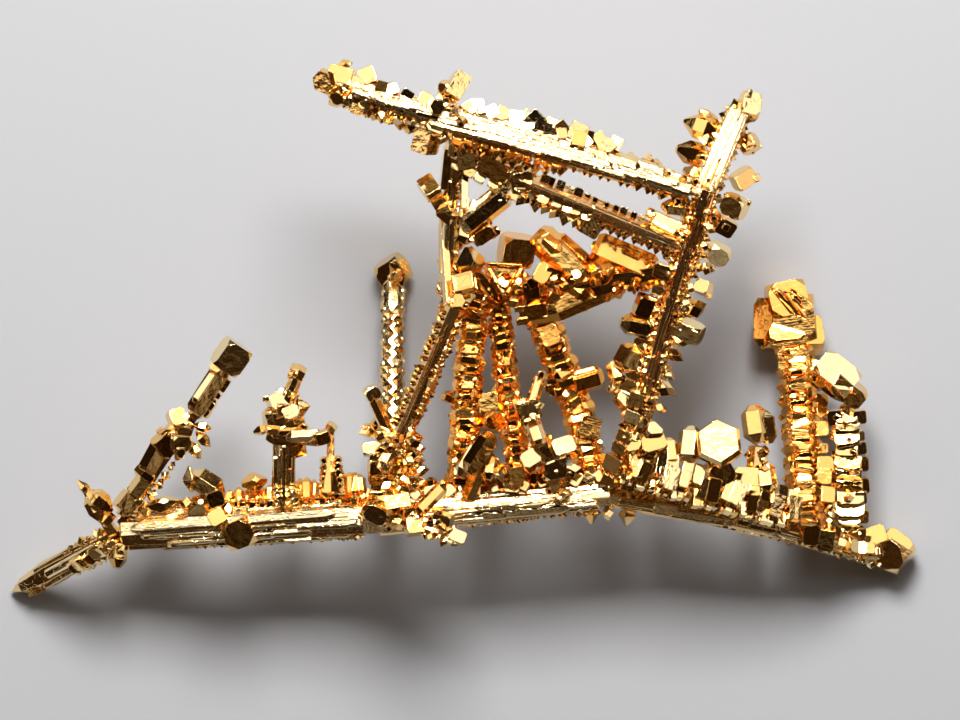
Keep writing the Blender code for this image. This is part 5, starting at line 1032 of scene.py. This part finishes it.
# Camera straight above, a long way off, with the frame's 960 pixels over 23.08 mm.
PIXELS_PER_MM = 41.6
FRAME_WIDTH, FRAME_MIDDLE = 960, (480, 360)
ORIGIN_PIXEL = (460, 326)
eye = bpy.data.cameras.new("eye")
eye.type = "ORTHO"
eye.ortho_scale = FRAME_WIDTH / PIXELS_PER_MM * MM
eye.clip_start, eye.clip_end = 0.001, 2.0
camera = bpy.data.objects.new("eye", eye)
camera.location = ((FRAME_MIDDLE[0] - ORIGIN_PIXEL[0]) / PIXELS_PER_MM * MM,
                   (ORIGIN_PIXEL[1] - FRAME_MIDDLE[1]) / PIXELS_PER_MM * MM, 0.3)
bpy.context.scene.collection.objects.link(camera)
bpy.context.scene.camera = camera

# Light from above the picture's top edge: a small bright softbox and a wide dim one. Two faint
# warm strips stand at the sides, and the gold mirrors a dim room, mottled brown and grey.

def softbox(name, toward, distance, width, height, brightness, tint=(1.0, 1.0, 1.0)):
    """A rectangular light that faces the specimen from a direction, sizes in metres. Its power
    gives the same brightness at any size: brightness * pi * area."""
    lamp = bpy.data.lights.new(name, "AREA")
    lamp.shape = "RECTANGLE"
    lamp.size, lamp.size_y = width, height
    lamp.energy = brightness * math.pi * width * height
    lamp.color = tint
    thing = bpy.data.objects.new(name, lamp)
    direction = Vector(toward).normalized()
    thing.location = direction * distance
    thing.rotation_euler = direction.to_track_quat("Z", "Y").to_euler()
    bpy.context.scene.collection.objects.link(thing)


WARM = (1.0, 0.86, 0.74)
softbox("key", (0.02, 0.6, 0.78), 0.1, 0.04, 0.036, 56.0)
softbox("wide_box", (0.0, 0.62, 0.78), 0.32, 0.54, 0.28, 1.4)
softbox("left_strip", (-0.85, 0.1, 0.5), 0.3, 0.08, 0.2, 1.4, tint=WARM)
softbox("right_strip", (0.85, -0.1, 0.45), 0.3, 0.08, 0.2, 1.0, tint=WARM)

MOTTLES = ((0.40, (0.014, 0.007, 0.003)), (0.52, (0.06, 0.031, 0.013)),
           (0.60, (0.17, 0.125, 0.085)), (0.70, (0.5, 0.48, 0.46)))
room = bpy.data.worlds.new("room")
room.use_nodes = True
tree = room.node_tree
towards = node(tree, "TexCoord", {})["Generated"]
blotches = node(tree, "TexNoise", {"Vector": towards, "Scale": 2.6, "Detail": 3.0})
shades = tree.nodes.new("ShaderNodeValToRGB")
ramp = shades.color_ramp.elements
for extra in MOTTLES[1:-1]:
    ramp.new(extra[0])
for stop, (position, colour) in zip(ramp, MOTTLES):
    stop.position, stop.color = position, (*colour, 1.0)
tree.links.new(blotches["Fac"], shades.inputs["Fac"])

# The room is dimmer straight above and towards the eye's near side.
heading = node(tree, "SeparateXYZ", {"Vector": towards})
above = node(tree, "MapRange", {"Value": heading["Z"], "From Min": 0.72, "From Max": 0.97,
                                "To Min": 1.0, "To Max": 0.25})
near = node(tree, "MapRange", {"Value": heading["Y"], "From Min": -0.6, "From Max": 0.1,
                               "To Min": 0.68, "To Max": 1.0})
strength = node(tree, "Math", {0: above["Result"], 1: near["Result"]}, operation="MULTIPLY")
tree.links.new(shades.outputs["Color"], tree.nodes["Background"].inputs["Color"])
tree.links.new(strength["Value"], tree.nodes["Background"].inputs["Strength"])
bpy.context.scene.world = room
bpy.context.scene.view_settings.view_transform = "Standard"
